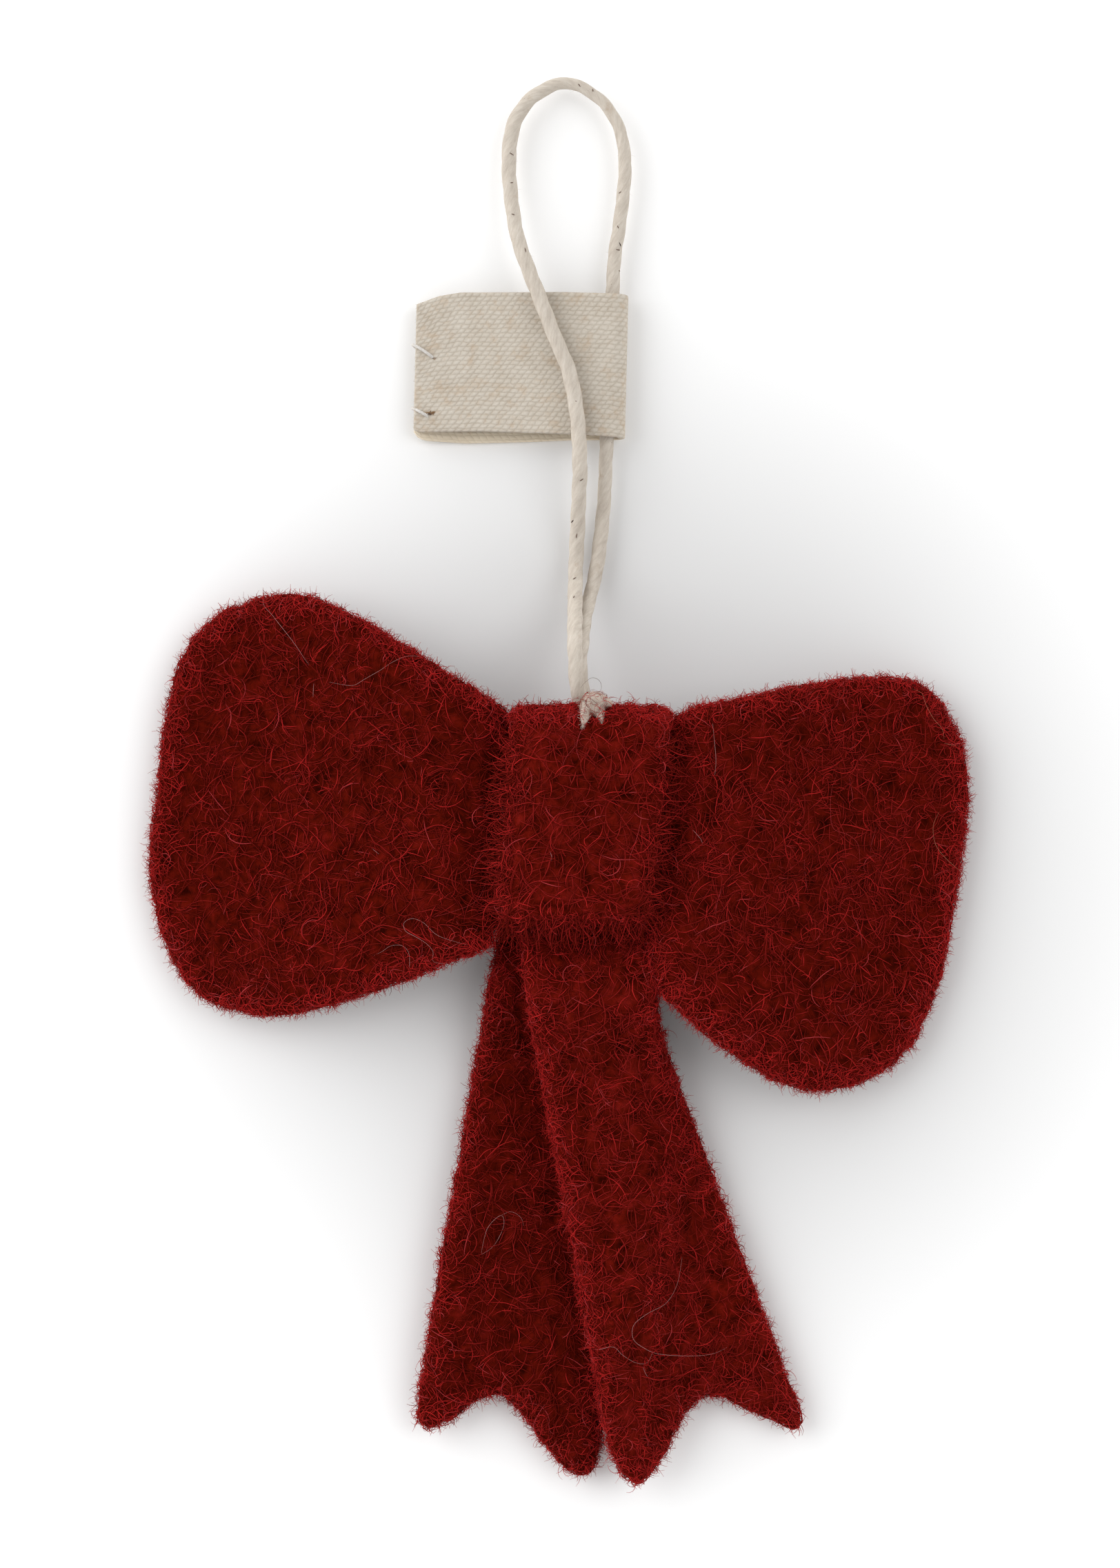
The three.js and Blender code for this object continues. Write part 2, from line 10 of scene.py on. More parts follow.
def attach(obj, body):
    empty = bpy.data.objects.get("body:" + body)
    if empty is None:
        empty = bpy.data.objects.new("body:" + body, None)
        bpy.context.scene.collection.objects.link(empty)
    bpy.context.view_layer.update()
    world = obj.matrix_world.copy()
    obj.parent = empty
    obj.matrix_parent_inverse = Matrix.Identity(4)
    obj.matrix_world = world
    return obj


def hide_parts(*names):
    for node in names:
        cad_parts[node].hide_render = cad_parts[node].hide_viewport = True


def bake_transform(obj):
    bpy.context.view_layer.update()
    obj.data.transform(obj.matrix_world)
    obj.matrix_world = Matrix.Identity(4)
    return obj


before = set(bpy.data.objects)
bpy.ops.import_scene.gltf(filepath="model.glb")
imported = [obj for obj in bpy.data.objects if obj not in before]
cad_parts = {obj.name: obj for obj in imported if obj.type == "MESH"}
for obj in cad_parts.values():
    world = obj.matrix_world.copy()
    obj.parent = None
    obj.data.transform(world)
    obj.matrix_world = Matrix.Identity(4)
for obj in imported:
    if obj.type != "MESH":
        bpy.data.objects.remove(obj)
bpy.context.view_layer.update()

mm = 0.001
scene = bpy.context.scene


# Camera: straight down, framed as in the photograph
cameraView = {
    "centreX": 0.14, "centreY": 26.4, "frameHeight": 162.4, "focusHeight": 4, "lens": 85, "sensor": 36,
    "pixelsWide": 1624, "pixelsHigh": 2274, "clip": (0.01, 10),
}


def lensAway(view):
    # how far the lens is from the plane that just fills the frame, in mm
    return view["frameHeight"] * view["lens"] / view["sensor"]


def makeCamera(view):
    data = bpy.data.cameras.new("camera")
    data.lens, data.sensor_width, data.sensor_fit = view["lens"], view["sensor"], "AUTO"
    data.clip_start, data.clip_end = view["clip"]
    camera = bpy.data.objects.new("camera", data)
    away = lensAway(view) + view["focusHeight"]
    camera.location = (view["centreX"] * mm, view["centreY"] * mm, away * mm)
    scene.collection.objects.link(camera)
    scene.camera = camera
    return camera


camera = makeCamera(cameraView)
print("camera", [round(value, 4) for value in camera.location])


def photoPoint(x, y, height):
    # a pixel of the photograph as a place in mm, seen at that height above the table
    view = cameraView
    perPixel = view["frameHeight"] / view["pixelsHigh"]
    away = lensAway(view)
    nearer = (away + view["focusHeight"] - height) / away
    across = (x - view["pixelsWide"] / 2) * perPixel * nearer
    down = (y - view["pixelsHigh"] / 2) * perPixel * nearer
    return Vector((view["centreX"] + across, view["centreY"] - down, height))


# Helpers for meshes and cords
def addPiece(name, mesh, materials=()):
    piece = bpy.data.objects.new(name, mesh)
    for material in materials:
        mesh.materials.append(material)
    scene.collection.objects.link(piece)
    return piece


def splineThrough(points, step, perSpan=24):
    # a smooth line through the points, in even steps
    points = [Vector(point) for point in points]
    ends = [2 * points[0] - points[1], *points, 2 * points[-1] - points[-2]]
    line = []
    for a, b, c, d in zip(ends, ends[1:], ends[2:], ends[3:]):
        inHandle = b + (c - a) / 6
        outHandle = c - (d - b) / 6
        for t in np.linspace(0, 1, perSpan, endpoint=False):
            back = 1 - t
            nearStart = b * back ** 3 + 3 * inHandle * t * back ** 2
            line.append(nearStart + 3 * outHandle * t * t * back + c * t ** 3)
    line = np.array([*line, points[-1]])
    along = np.concatenate([[0], np.cumsum(np.linalg.norm(np.diff(line, axis=0), axis=1))])
    at = np.linspace(0, along[-1], max(3, round(along[-1] / step) + 1))
    return [Vector([np.interp(place, along, line[:, axis]) for axis in range(3)]) for place in at]


def applyModifiers(piece):
    piece.data = bpy.data.meshes.new_from_object(piece.evaluated_get(bpy.context.evaluated_depsgraph_get()))
    piece.modifiers.clear()


def remeshEvenly(piece, voxel):
    remesh = piece.modifiers.new("even", "REMESH")
    remesh.mode, remesh.voxel_size = "VOXEL", voxel
    applyModifiers(piece)


def smoothEvenly(bm, times):
    axes = {"use_axis_x": True, "use_axis_y": True, "use_axis_z": True}
    for _ in range(times):
        bmesh.ops.smooth_vert(bm, verts=bm.verts, factor=0.5, **axes)
    bm.normal_update()


def finishMesh(bm, mesh):
    for face in bm.faces:
        face.smooth = True
    bm.to_mesh(mesh)
    bm.free()
    return mesh


def ringFrames(line):
    # directions across the line that turn as little as possible from ring to ring
    across = Vector((1, 0, 0)).cross(line[1] - line[0])
    frames = []
    for i, point in enumerate(line):
        ahead = (line[min(i + 1, len(line) - 1)] - line[max(i - 1, 0)]).normalized()
        across = (across - ahead * across.dot(ahead)).normalized()
        frames.append((point, across, ahead.cross(across), ahead))
    return frames


def makeCord(name, line, radius, lobes, lobeDepth, turnLength, sides=18, swellAt=None):
    # a twisted cord: one lobed ring extruded from place to place, turning as it goes
    bm = bmesh.new()
    ringX, ringY, along = (bm.verts.layers.float.new(layer) for layer in ("ringX", "ringY", "along"))
    ring = bmesh.ops.create_circle(bm, segments=sides, radius=1)["verts"]
    angles = [math.atan2(vert.co.y, vert.co.x) for vert in ring]
    edges = list(dict.fromkeys(edge for vert in ring for edge in vert.link_edges))
    sameSpot = 1e-9
    passed = 0
    for i, (point, right, up, ahead) in enumerate(ringFrames(line)):
        if i:
            passed += (line[i] - line[i - 1]).length
            made = bmesh.ops.extrude_edge_only(bm, edges=edges)["geom"]
            edges = [piece for piece in made if isinstance(piece, bmesh.types.BMEdge)
                     and all(vert not in ring for vert in piece.verts)]
            # the new ring still lies on the old one, each corner joined to its own by an edge
            partner = {}
            for old in ring:
                for edge in old.link_edges:
                    other = edge.other_vert(old)
                    taken = other in ring or other in partner.values() or edge in edges
                    if not taken and (other.co - old.co).length < sameSpot:
                        partner[old] = other
            ring = [partner[old] for old in ring]
        turn = passed / turnLength * 2 * math.pi
        size = radius * (swellAt(i / (len(line) - 1)) if swellAt else 1)
        for vert, angle in zip(ring, angles):
            lobe = 1 - lobeDepth * (1 - abs(math.cos(lobes / 2 * (angle - turn))))
            vert.co = point + (right * math.cos(angle) + up * math.sin(angle)) * size * lobe
            vert[ringX], vert[ringY], vert[along] = math.cos(angle - turn), math.sin(angle - turn), passed
    bmesh.ops.holes_fill(bm, edges=[edge for edge in bm.edges if edge.is_boundary], sides=sides)
    bmesh.ops.recalc_face_normals(bm, faces=bm.faces)
    # the extrusions add faces in no fixed order, so they are put in one, for the hairs that grow on them
    bm.verts.index_update()
    corners = len(bm.verts)
    spans = {face: [vert.index for vert in face.verts] for face in bm.faces}
    bm.faces.sort(key=lambda face: max(spans[face]) * corners + min(spans[face]))
    return finishMesh(bm, bpy.data.meshes.new(name))


# Hanging string: the route is the part's own, in metres, and its two ends run on into the band
hangingString = {
    "diameter": 0.00157,
    # the two strands meet behind the knot and tuck in under the band's top edge
    "intoBand": [(0.0026, 0.0335, 0.0085), (0.0025, 0.0355, 0.0086), (0.0023, 0.0374, 0.0086)],
    "route": [
        (0.0022, 0.039085, 0.0084), (0.00232, 0.0403, 0.0077), (0.0025, 0.042, 0.006),
        (0.0028, 0.044, 0.0038), (0.0034, 0.0464, 0.0019), (0.004, 0.0492, 0.0014),
        (0.0045, 0.0534, 0.0014), (0.00475, 0.0564, 0.0015), (0.00487, 0.0594, 0.00169),
        (0.00528, 0.06965, 0.00169), (0.00572, 0.08, 0.00169), (0.0062, 0.0836, 0.0017),
        (0.00672, 0.0878, 0.0018), (0.00685, 0.0912, 0.0019), (0.00615, 0.0946, 0.0019),
        (0.00415, 0.0974, 0.0019), (0.0008, 0.099, 0.0019), (-0.0026, 0.0976, 0.0019),
        (-0.0046, 0.0948, 0.0019), (-0.00515, 0.0911, 0.002), (-0.0049, 0.087, 0.0024),
        (-0.0043, 0.0832, 0.0032), (-0.00335, 0.0803, 0.00378), (-0.0021, 0.0771, 0.00393),
        (-0.00035, 0.0726, 0.00408), (0.00107, 0.0691, 0.00422), (0.00193, 0.0644, 0.0043),
        (0.0022, 0.0594, 0.0043), (0.0021, 0.0562, 0.0034), (0.00195, 0.0526, 0.0022),
        (0.00178, 0.049, 0.0021), (0.00172, 0.0462, 0.0036), (0.0017, 0.0439, 0.0062),
        (0.00168, 0.0419, 0.0085), (0.0017, 0.0404, 0.0098), (0.00176, 0.039085, 0.0102),
    ],
    "outToBand": [(0.00178, 0.0374, 0.01005), (0.00195, 0.036, 0.0096), (0.0022, 0.0349, 0.0091),
                  (0.0025, 0.0336, 0.0086)],
    # pulled thin over the top of the loop: thickness by share of the way along
    "swell": [(0, 0.95), (0.1, 0.95), (0.3, 0.92), (0.42, 0.88), (0.475, 0.74), (0.5, 0.8), (0.54, 1.0),
              (0.62, 0.94), (0.7, 1), (1, 1)],
    "plump": 1.03, "uneven": 0.05, "unevenSpots": 40,
    "lobes": 3, "lobeDepth": 0.12, "turnLength": 0.0085, "step": 0.0003,
}


def asSeen(place):
    # the part's flat drawing, spread for the camera's perspective at the place's height
    focus = cameraView["focusHeight"] * mm
    perspective = (focus - place[2]) / (camera.location.z - focus)
    middle = Vector((cameraView["centreX"] * mm, cameraView["centreY"] * mm))
    return Vector((*(middle + (Vector(place[:2]) - middle) * (1 + perspective)), place[2]))


def makeString(cord):
    points = [*cord["intoBand"], *(asSeen(place) for place in cord["route"]), *cord["outToBand"]]
    line = splineThrough(points, cord["step"])

    def swellAt(share):
        uneven = noise.noise(Vector((share * cord["unevenSpots"], 0.5, 0.5)))
        return float(np.interp(share, *zip(*cord["swell"]))) + cord["uneven"] * uneven

    mesh = makeCord("hangingString", line, cord["diameter"] / 2 * cord["plump"], cord["lobes"],
                    cord["lobeDepth"], cord["turnLength"], swellAt=swellAt)
    length = sum((b - a).length for a, b in zip(line, line[1:]))
    print("string", round(length, 4), "m,", len(mesh.polygons), "faces")
    return addPiece("hangingString", mesh), line, length


stringPiece, stringLine, stringLength = makeString(hangingString)


# Helpers for materials
def newMaterial(name, colour, roughness, specular=0.02, sheen=0.0, sheenTint=(1, 1, 1, 1)):
    material = bpy.data.materials.new(name)
    material.use_nodes = True
    shader = material.node_tree.nodes["Principled BSDF"]
    shader.inputs["Base Color"].default_value = (*colour, 1)
    shader.inputs["Roughness"].default_value = roughness
    shader.inputs["Specular IOR Level"].default_value = specular
    shader.inputs["Sheen Weight"].default_value = sheen
    shader.inputs["Sheen Tint"].default_value = sheenTint
    material.diffuse_color = (*colour, 1)
    return material, material.node_tree, shader


def addNode(tree, kind, settings=(), **values):
    node = tree.nodes.new(kind)
    for key, value in dict(settings).items():
        setattr(node, key, value)
    for key, value in values.items():
        node.inputs[key].default_value = value
    return node


def feed(tree, socket, value):
    # a socket gets a number, a colour or another node's output
    if isinstance(value, (int, float)):
        socket.default_value = value
    elif isinstance(value, tuple):
        socket.default_value = (*value, 1)
    else:
        tree.links.new(value, socket)


def mathNode(tree, operation, *values):
    node = tree.nodes.new("ShaderNodeMath")
    node.operation = operation
    for socket, value in zip(node.inputs, values):
        feed(tree, socket, value)
    return node.outputs[0]


def noiseNode(tree, vector, scale, detail=2.0, roughness=0.5):
    node = addNode(tree, "ShaderNodeTexNoise", Scale=scale, Detail=detail, Roughness=roughness)
    tree.links.new(vector, node.inputs["Vector"])
    return node


def attributeNode(tree, name):
    node = tree.nodes.new("ShaderNodeAttribute")
    node.attribute_name = name
    return node.outputs["Fac"]


def joinVector(tree, *parts):
    node = tree.nodes.new("ShaderNodeCombineXYZ")
    for socket, part in zip(node.inputs, parts):
        feed(tree, socket, part)
    return node.outputs[0]


def colourRamp(tree, factor, stops):
    ramp = tree.nodes.new("ShaderNodeValToRGB")
    while len(ramp.color_ramp.elements) < len(stops):
        ramp.color_ramp.elements.new(0.5)
    for element, (place, colour) in zip(ramp.color_ramp.elements, stops):
        element.position, element.color = place, (*colour, 1)
    tree.links.new(factor, ramp.inputs["Fac"])
    return ramp.outputs["Color"]


def greyRamp(tree, factor, low, high, start, end):
    # a grey that runs from one strength to another between two places of the factor
    return colourRamp(tree, factor, [(low, (start,) * 3), (high, (end,) * 3)])


def mixColour(tree, factor, first, second):
    mix = tree.nodes.new("ShaderNodeMix")
    mix.data_type = "RGBA"
    sockets = {(socket.name, socket.type): socket for socket in mix.inputs}
    feed(tree, sockets["Factor", "VALUE"], factor)
    feed(tree, sockets["A", "RGBA"], first)
    feed(tree, sockets["B", "RGBA"], second)
    return next(socket for socket in mix.outputs if socket.type == "RGBA")


def addBump(tree, shader, height, distance, strength=1.0):
    bump = addNode(tree, "ShaderNodeBump", Distance=distance, Strength=strength)
    tree.links.new(height, bump.inputs["Height"])
    tree.links.new(bump.outputs["Normal"], shader.inputs["Normal"])


# Felt's colour and relief; scales are in turns to the metre, and the ramp's places are along the tone
feltWeave = {
    "warpScale": 700, "warp": 0.0014, "netScale": 820, "netSharpness": 3.2,
    "swirlNoise": (1500, 5, 0.7), "swirl": 1.6,
    "strandHeight": 0.3, "swirlHeight": 0.75, "bump": 0.0004, "bumpStrength": 0.8,
    "baseTone": 0.45, "heightTone": 0.6, "clumpShadeTone": 0.27,
    "ramp": {"shadedPit": 0.45, "deep": 0.68, "haze": 0.86, "bright": 1},
    "sheen": 0.2, "sheenTint": (0.8, 0.05, 0.05, 1),
}
# painted light: one felt in two copies, a brighter lit one for the band and the right tail and a darker
# shaded one for the wings and the left tail
feltShades = {
    "shadedFelt": {"shadedPit": (0.018, 0.0016, 0.0003), "deep": (0.064, 0.0036, 0.001),
                 "haze": (0.107, 0.0053, 0.002), "bright": (0.138, 0.0067, 0.0038)},
    "litFelt": {"shadedPit": (0.02, 0.0017, 0.0003), "deep": (0.074, 0.004, 0.0012),
                 "haze": (0.134, 0.0063, 0.003), "bright": (0.176, 0.0086, 0.0056)},
}


def feltMaterial(name, shades, weave):
    # matted wool: a warped net of brighter strands, darker in the pits between them and where the mat is thin
    # and sunk, which is painted shade in the felt's hollows
    material, tree, shader = newMaterial(name, shades["haze"], 1.0, 0.0, weave["sheen"], weave["sheenTint"])
    place = tree.nodes.new("ShaderNodeTexCoord").outputs["Object"]
    bent = addNode(tree, "ShaderNodeVectorMath", {"operation": "MULTIPLY_ADD"})
    tree.links.new(noiseNode(tree, place, weave["warpScale"]).outputs["Color"], bent.inputs[0])
    bent.inputs[1].default_value = (weave["warp"],) * 3
    tree.links.new(place, bent.inputs[2])
    net = addNode(tree, "ShaderNodeTexVoronoi", {"feature": "DISTANCE_TO_EDGE"}, Scale=weave["netScale"])
    tree.links.new(bent.outputs[0], net.inputs["Vector"])
    away = mathNode(tree, "MULTIPLY", net.outputs["Distance"], weave["netSharpness"])
    strand = mathNode(tree, "SUBTRACT", 1, away)
    swirls = noiseNode(tree, bent.outputs[0], *weave["swirlNoise"])
    swirls.inputs["Distortion"].default_value = weave["swirl"]
    swirled = mathNode(tree, "MULTIPLY", swirls.outputs["Fac"], weave["swirlHeight"])
    height = mathNode(tree, "MULTIPLY_ADD", strand, weave["strandHeight"], swirled)
    heightTone = mathNode(tree, "MULTIPLY_ADD", height, weave["heightTone"], weave["baseTone"])
    # painted shade: darker where the mat is thin and sunk
    tone = mathNode(tree, "MULTIPLY_ADD", attributeNode(tree, "clump"), weave["clumpShadeTone"], heightTone)
    colour = colourRamp(tree, tone, [(stop, shades[shade]) for shade, stop in weave["ramp"].items()])
    tree.links.new(colour, shader.inputs["Base Color"])
    addBump(tree, shader, height, weave["bump"], weave["bumpStrength"])
    return material


shadedFelt, litFelt = (feltMaterial(name, shades, feltWeave) for name, shades in feltShades.items())

# single fibres: wool from deep in the mat to loose pale ones, then cotton and what has caught in it
fibreShades = {
    "fibreDeep": (0.096, 0.005, 0.0018),
    "fibreRed": (0.142, 0.007, 0.0036),
    "fibreCrimson": (0.243, 0.0117, 0.0096),
    "fibreBright": (0.41, 0.0172, 0.0158),
    "fibrePink": (0.4, 0.038, 0.042),
    "fibreTan": (0.4, 0.15, 0.09),
    "fibrePale": (0.42, 0.2, 0.19),
    "hairCotton": (0.62, 0.56, 0.48),
    "hairBrown": (0.16, 0.105, 0.08),
    "hairTan": (0.3, 0.18, 0.09),
    "hairDark": (0.035, 0.02, 0.02),
}
fibreRoughness = 0.7
fibreMaterials = [newMaterial(name, colour, fibreRoughness)[0] for name, colour in fibreShades.items()]
shadeIndex = {name: index for index, name in enumerate(fibreShades)}


# Cord's colour and relief: places are scaled across and along the cord, noises are scale, detail, roughness
cottonFinish = {"roughness": 0.95, "specular": 0.05}
cordGrain = {
    "streaks": (5, 900), "streakNoise": (1.0, 4, 0.6), "mottles": (1.6, 700), "mottleNoise": (1.0, 4, 0.7),
    "mottleRamp": {"shade": 0.3, "body": 0.5, "pale": 0.72}, "tanNoise": (420, 4, 0.7),
    "tanRamp": (0.6, 0.74, 0, 0.5), "fleckNoise": (2300, 1, 0.4), "fleckRamp": (0.79, 0.83, 0, 0.7),
    "bump": 0.00016, "bumpStrength": 0.6,
}


def roundCord(tree, around, along):
    # where a pattern is on a cord, without a seam
    ring = [mathNode(tree, "MULTIPLY", attributeNode(tree, side), around) for side in ("ringX", "ringY")]
    return joinVector(tree, *ring, mathNode(tree, "MULTIPLY", attributeNode(tree, "along"), along))


def cordMaterial(name, shades, grain):
    material, tree, shader = newMaterial(name, shades["body"], **cottonFinish)
    place = tree.nodes.new("ShaderNodeTexCoord").outputs["Object"]
    streaks = noiseNode(tree, roundCord(tree, *grain["streaks"]), *grain["streakNoise"]).outputs["Fac"]
    mottles = noiseNode(tree, roundCord(tree, *grain["mottles"]), *grain["mottleNoise"]).outputs["Fac"]
    tans = noiseNode(tree, place, *grain["tanNoise"]).outputs["Fac"]
    flecks = noiseNode(tree, place, *grain["fleckNoise"]).outputs["Fac"]
    body = colourRamp(tree, mottles, [(stop, shades[shade]) for shade, stop in grain["mottleRamp"].items()])
    tanned = mixColour(tree, greyRamp(tree, tans, *grain["tanRamp"]), body, shades["tan"])
    flecked = mixColour(tree, greyRamp(tree, flecks, *grain["fleckRamp"]), tanned, shades["fleck"])
    tree.links.new(flecked, shader.inputs["Base Color"])
    addBump(tree, shader, streaks, grain["bump"], grain["bumpStrength"])
    return material


cordShades = {
    "cottonString": {"shade": (0.48, 0.42, 0.36), "body": (0.565, 0.505, 0.435), "pale": (0.645, 0.59, 0.52),
                     "tan": (0.4, 0.3, 0.21), "fleck": (0.16, 0.09, 0.07)},
    "knotCotton": {"shade": (0.4, 0.31, 0.26), "body": (0.47, 0.395, 0.335), "pale": (0.54, 0.47, 0.41),
                   "tan": (0.4, 0.2, 0.16), "fleck": (0.3, 0.05, 0.05)},
    "whiteThread": {"shade": (0.6, 0.56, 0.52), "body": (0.7, 0.67, 0.63), "pale": (0.78, 0.75, 0.72),
                    "tan": (0.6, 0.52, 0.45), "fleck": (0.5, 0.42, 0.36)},
    "redThread": {"shade": (0.12, 0.006, 0.006), "body": (0.2, 0.012, 0.012), "pale": (0.3, 0.025, 0.025),
                  "tan": (0.18, 0.01, 0.01), "fleck": (0.08, 0.005, 0.005)},
}
cordMaterials = [cordMaterial(name, shades, cordGrain) for name, shades in cordShades.items()]
cottonString, knotCotton, whiteThread, redThread = cordMaterials


# Felt: each piece is an even mesh over its solid, drawn in for the fuzz that then lies on it
feltSheet = {
    "voxel": 0.0004, "drawnIn": 0.0002, "merge": 1e-7, "offTable": 0.00002, "rimFacing": 0.8,
    "clumpSize": 0.0018, "clumpNoise": (0.8, 2.1, 2), "matNoise": (0.9, 2.2, 2), "raggedNoise": (0.8, 2.1, 2),
}
feltRelief = {
    "smoothing": 4, "broad": 0.00026, "broadSize": 0.011, "lump": 0.00018, "lumpSize": 0.0026,
    "mat": 0.00015, "matSize": 0.0011, "clump": 0.00009, "ragged": 0.00011, "raggedSize": 0.0012,
}


def clumpAt(place):
    # the mat is thicker in some places than others
    return noise.fractal(Vector(place) / feltSheet["clumpSize"], *feltSheet["clumpNoise"])


def evenFelt(name, node, material, relief, bendAt=None):
    solid = bpy.data.meshes.new(name + "Solid")
    bm = bmesh.new()
    bm.from_mesh(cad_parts[node].data)
    bmesh.ops.remove_doubles(bm, verts=bm.verts, dist=feltSheet["merge"])
    bm.to_mesh(solid)
    bm.free()
    felt = addPiece(name + "Blank", solid)
    remeshEvenly(felt, feltSheet["voxel"])
    bm = bmesh.new()
    bm.from_mesh(felt.data)
    smoothEvenly(bm, relief["smoothing"])
    clumps = bm.verts.layers.float.new("clump")
    otherNoise = Vector((7, 3, 1))
    moved = []
    for vert in bm.verts:
        place = vert.co
        broad = noise.noise(place * (1 / relief["broadSize"]))
        lumps = noise.noise(place * (1 / relief["lumpSize"]) + otherNoise)
        mat = noise.fractal(place * (1 / relief["matSize"]), *feltSheet["matNoise"])
        rim = 1 - min(1, abs(vert.normal.z) / feltSheet["rimFacing"])
        rags = noise.fractal(place * (1 / relief["raggedSize"]), *feltSheet["raggedNoise"])
        ragged = relief["ragged"] * rim * rags
        vert[clumps] = clumpAt(place)
        raised = relief["lump"] * lumps + relief["mat"] * mat + relief["clump"] * vert[clumps]
        out = raised + ragged - feltSheet["drawnIn"]
        flat = Vector((0, 0, relief["broad"] * broad))
        moved.append(place + vert.normal * out + flat + (bendAt(place) if bendAt else Vector()))
    for vert, place in zip(bm.verts, moved):
        vert.co = (place.x, place.y, max(place.z, feltSheet["offTable"]))
    finishMesh(bm, felt.data)
    felt.name, felt.data.name = name, name
    felt.data.materials.clear()
    felt.data.materials.append(material)
    bpy.data.meshes.remove(solid)
    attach(felt, "bow")
    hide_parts(node)
    print(name, len(felt.data.polygons), "faces")
    return felt


def smoothShare(value):
    share = max(0.0, min(1.0, value))
    return share * share * (3 - 2 * share)


# where the band's front is, leaning and tapering as it rises
bandPlace = {
    "middleX": 0.00225, "middleY": 0.022, "lean": 0.08, "halfWidth": 0.00833, "taper": 0.018,
    "bottom": 0.0114, "sidesEnd": 0.0312, "topFree": 0.0325,
}
# the wings' corners crowd against the band's sides, and the felt dips where the band squeezes it
wingPinch = {
    "clear": 0.0004, "fade": 0.0045, "pulledIn": 0.0011, "waistHalf": 0.0086, "cornerFade": 0.0012,
    "leftDip": 0.0009, "rightDip": 0.0004, "dipReach": 0.006, "above": 0.005, "aboveFade": 0.004,
}
# the band's lower edge is drawn up in an uneven line, and its left side is pressed down into the wing
bandPress = {
    "above": 0.005, "aboveFade": 0.003, "wave": 0.0005, "waveScale": 260,
    "drawnBelow": 0.0155, "drawnFade": 0.0055, "drawnUp": 0.0019,
    "left": 0.0011, "leftReach": 0.0042, "right": 0.0004, "rightReach": 0.003,
}
# the tails climb towards the band that they are tucked under, and the lower one's outer edge rides up
tailRise = {
    "climbFrom": -0.006, "climb": 0.015, "climbRight": 0.0125, "climbFade": 0.003,
    "left": 0.0032, "right": 0.0036,
    "outer": 0.0009, "outerX": -0.004, "outerFade": 0.009, "outerTop": 0.004, "outerLength": 0.02,
}


def besideBand(place):
    # how far a place is from the band's edge, which side it is on, and how far up the band
    rise = place.y - bandPlace["middleY"]
    fromMiddle = place.x - bandPlace["middleX"] - bandPlace["lean"] * rise
    away = abs(fromMiddle) - bandPlace["halfWidth"] - bandPlace["taper"] * rise
    return away, math.copysign(1, fromMiddle), rise


def wingBend(place):
    pinch = wingPinch
    away, side, rise = besideBand(place)
    near = smoothShare(1 - (away - pinch["clear"]) / pinch["fade"])
    corner = smoothShare((abs(rise) - pinch["waistHalf"]) / pinch["cornerFade"])
    aside = -side * pinch["pulledIn"] * (near * corner) if away > 0 else 0
    dip = pinch["leftDip" if side < 0 else "rightDip"] * smoothShare(1 - away / pinch["dipReach"])
    return Vector((aside, 0, -dip * smoothShare((place.z - pinch["above"]) / pinch["aboveFade"])))


def bandBend(place):
    press = bandPress
    away, side, rise = besideBand(place)
    front = smoothShare((place.z - press["above"]) / press["aboveFade"])
    wave = press["wave"] * noise.noise(Vector((place.x * press["waveScale"], 1, 2)))
    up = smoothShare((press["drawnBelow"] - place.y) / press["drawnFade"]) * (press["drawnUp"] + wave)
    which = "left" if side < 0 else "right"
    down = press[which] * smoothShare(1 + away / press[which + "Reach"])
    return Vector((0, up, -down)) * front


def climbAt(place):
    upwards = smoothShare((place.y - tailRise["climbFrom"]) / tailRise["climb"])
    return upwards * smoothShare((tailRise["climbRight"] - place.x) / tailRise["climbFade"])


def leftTailBend(place):
    outwards = smoothShare((tailRise["outerX"] - place.x) / tailRise["outerFade"])
    outer = outwards * smoothShare((tailRise["outerTop"] - place.y) / tailRise["outerLength"])
    return Vector((0, 0, tailRise["outer"] * outer + tailRise["left"] * climbAt(place)))


def rightTailBend(place):
    return Vector((0, 0, tailRise["right"] * climbAt(place)))


bandRelief = {**feltRelief, "smoothing": 22, "broad": 0.0002}
tailRelief = {**feltRelief, "broad": 0.00018}
# painted light: the band and the right tail get the felt's lit copy, the wings and the left tail its shaded
# copy
bowBody = evenFelt("bowBody", "bow_body", shadedFelt, feltRelief, wingBend)
centerBand = evenFelt("centerBand", "center_band", litFelt, bandRelief, bandBend)
leftTail = evenFelt("leftTail", "left_tail", shadedFelt, tailRelief, leftTailBend)
rightTail = evenFelt("rightTail", "right_tail", litFelt, tailRelief, rightTailBend)


# Fibres: three-cornered strands, in metres; curl is in radians to the metre
fibreForm = {
    "corners": (90, 210, 330), "lowest": 0.00004, "tip": 0.4, "endLift": 0.35, "sunk": 0.00005,
    "wander": 0.45, "rooted": 0.0001, "curlSpread": (0.35, 1.5), "hairThins": 0.7,
}
aboveAll = 0.03


def castDown(tree, x, y):
    return tree.ray_cast(Vector((x, y, aboveAll)), Vector((0, 0, -1)))


def surfaceOf(piece):
    mesh = piece.data
    mesh.calc_loop_triangles()
    count = len(mesh.loop_triangles)
    places = np.zeros(len(mesh.vertices) * 3)
    mesh.vertices.foreach_get("co", places)
    places = places.reshape(-1, 3)
    corners = np.zeros(count * 3, np.int32)
    mesh.loop_triangles.foreach_get("vertices", corners)
    triangles = places[corners.reshape(-1, 3)]
    across = np.cross(triangles[:, 1] - triangles[:, 0], triangles[:, 2] - triangles[:, 0])
    # a face without area still gets a size to divide by
    leastSize = 1e-15
    size = np.linalg.norm(across, axis=1) + leastSize
    faces = [tuple(face.vertices) for face in mesh.polygons]
    tree = BVHTree.FromPolygons([tuple(place) for place in places], faces)
    return {"triangles": triangles, "area": size / 2, "facing": across / size[:, None], "tree": tree}


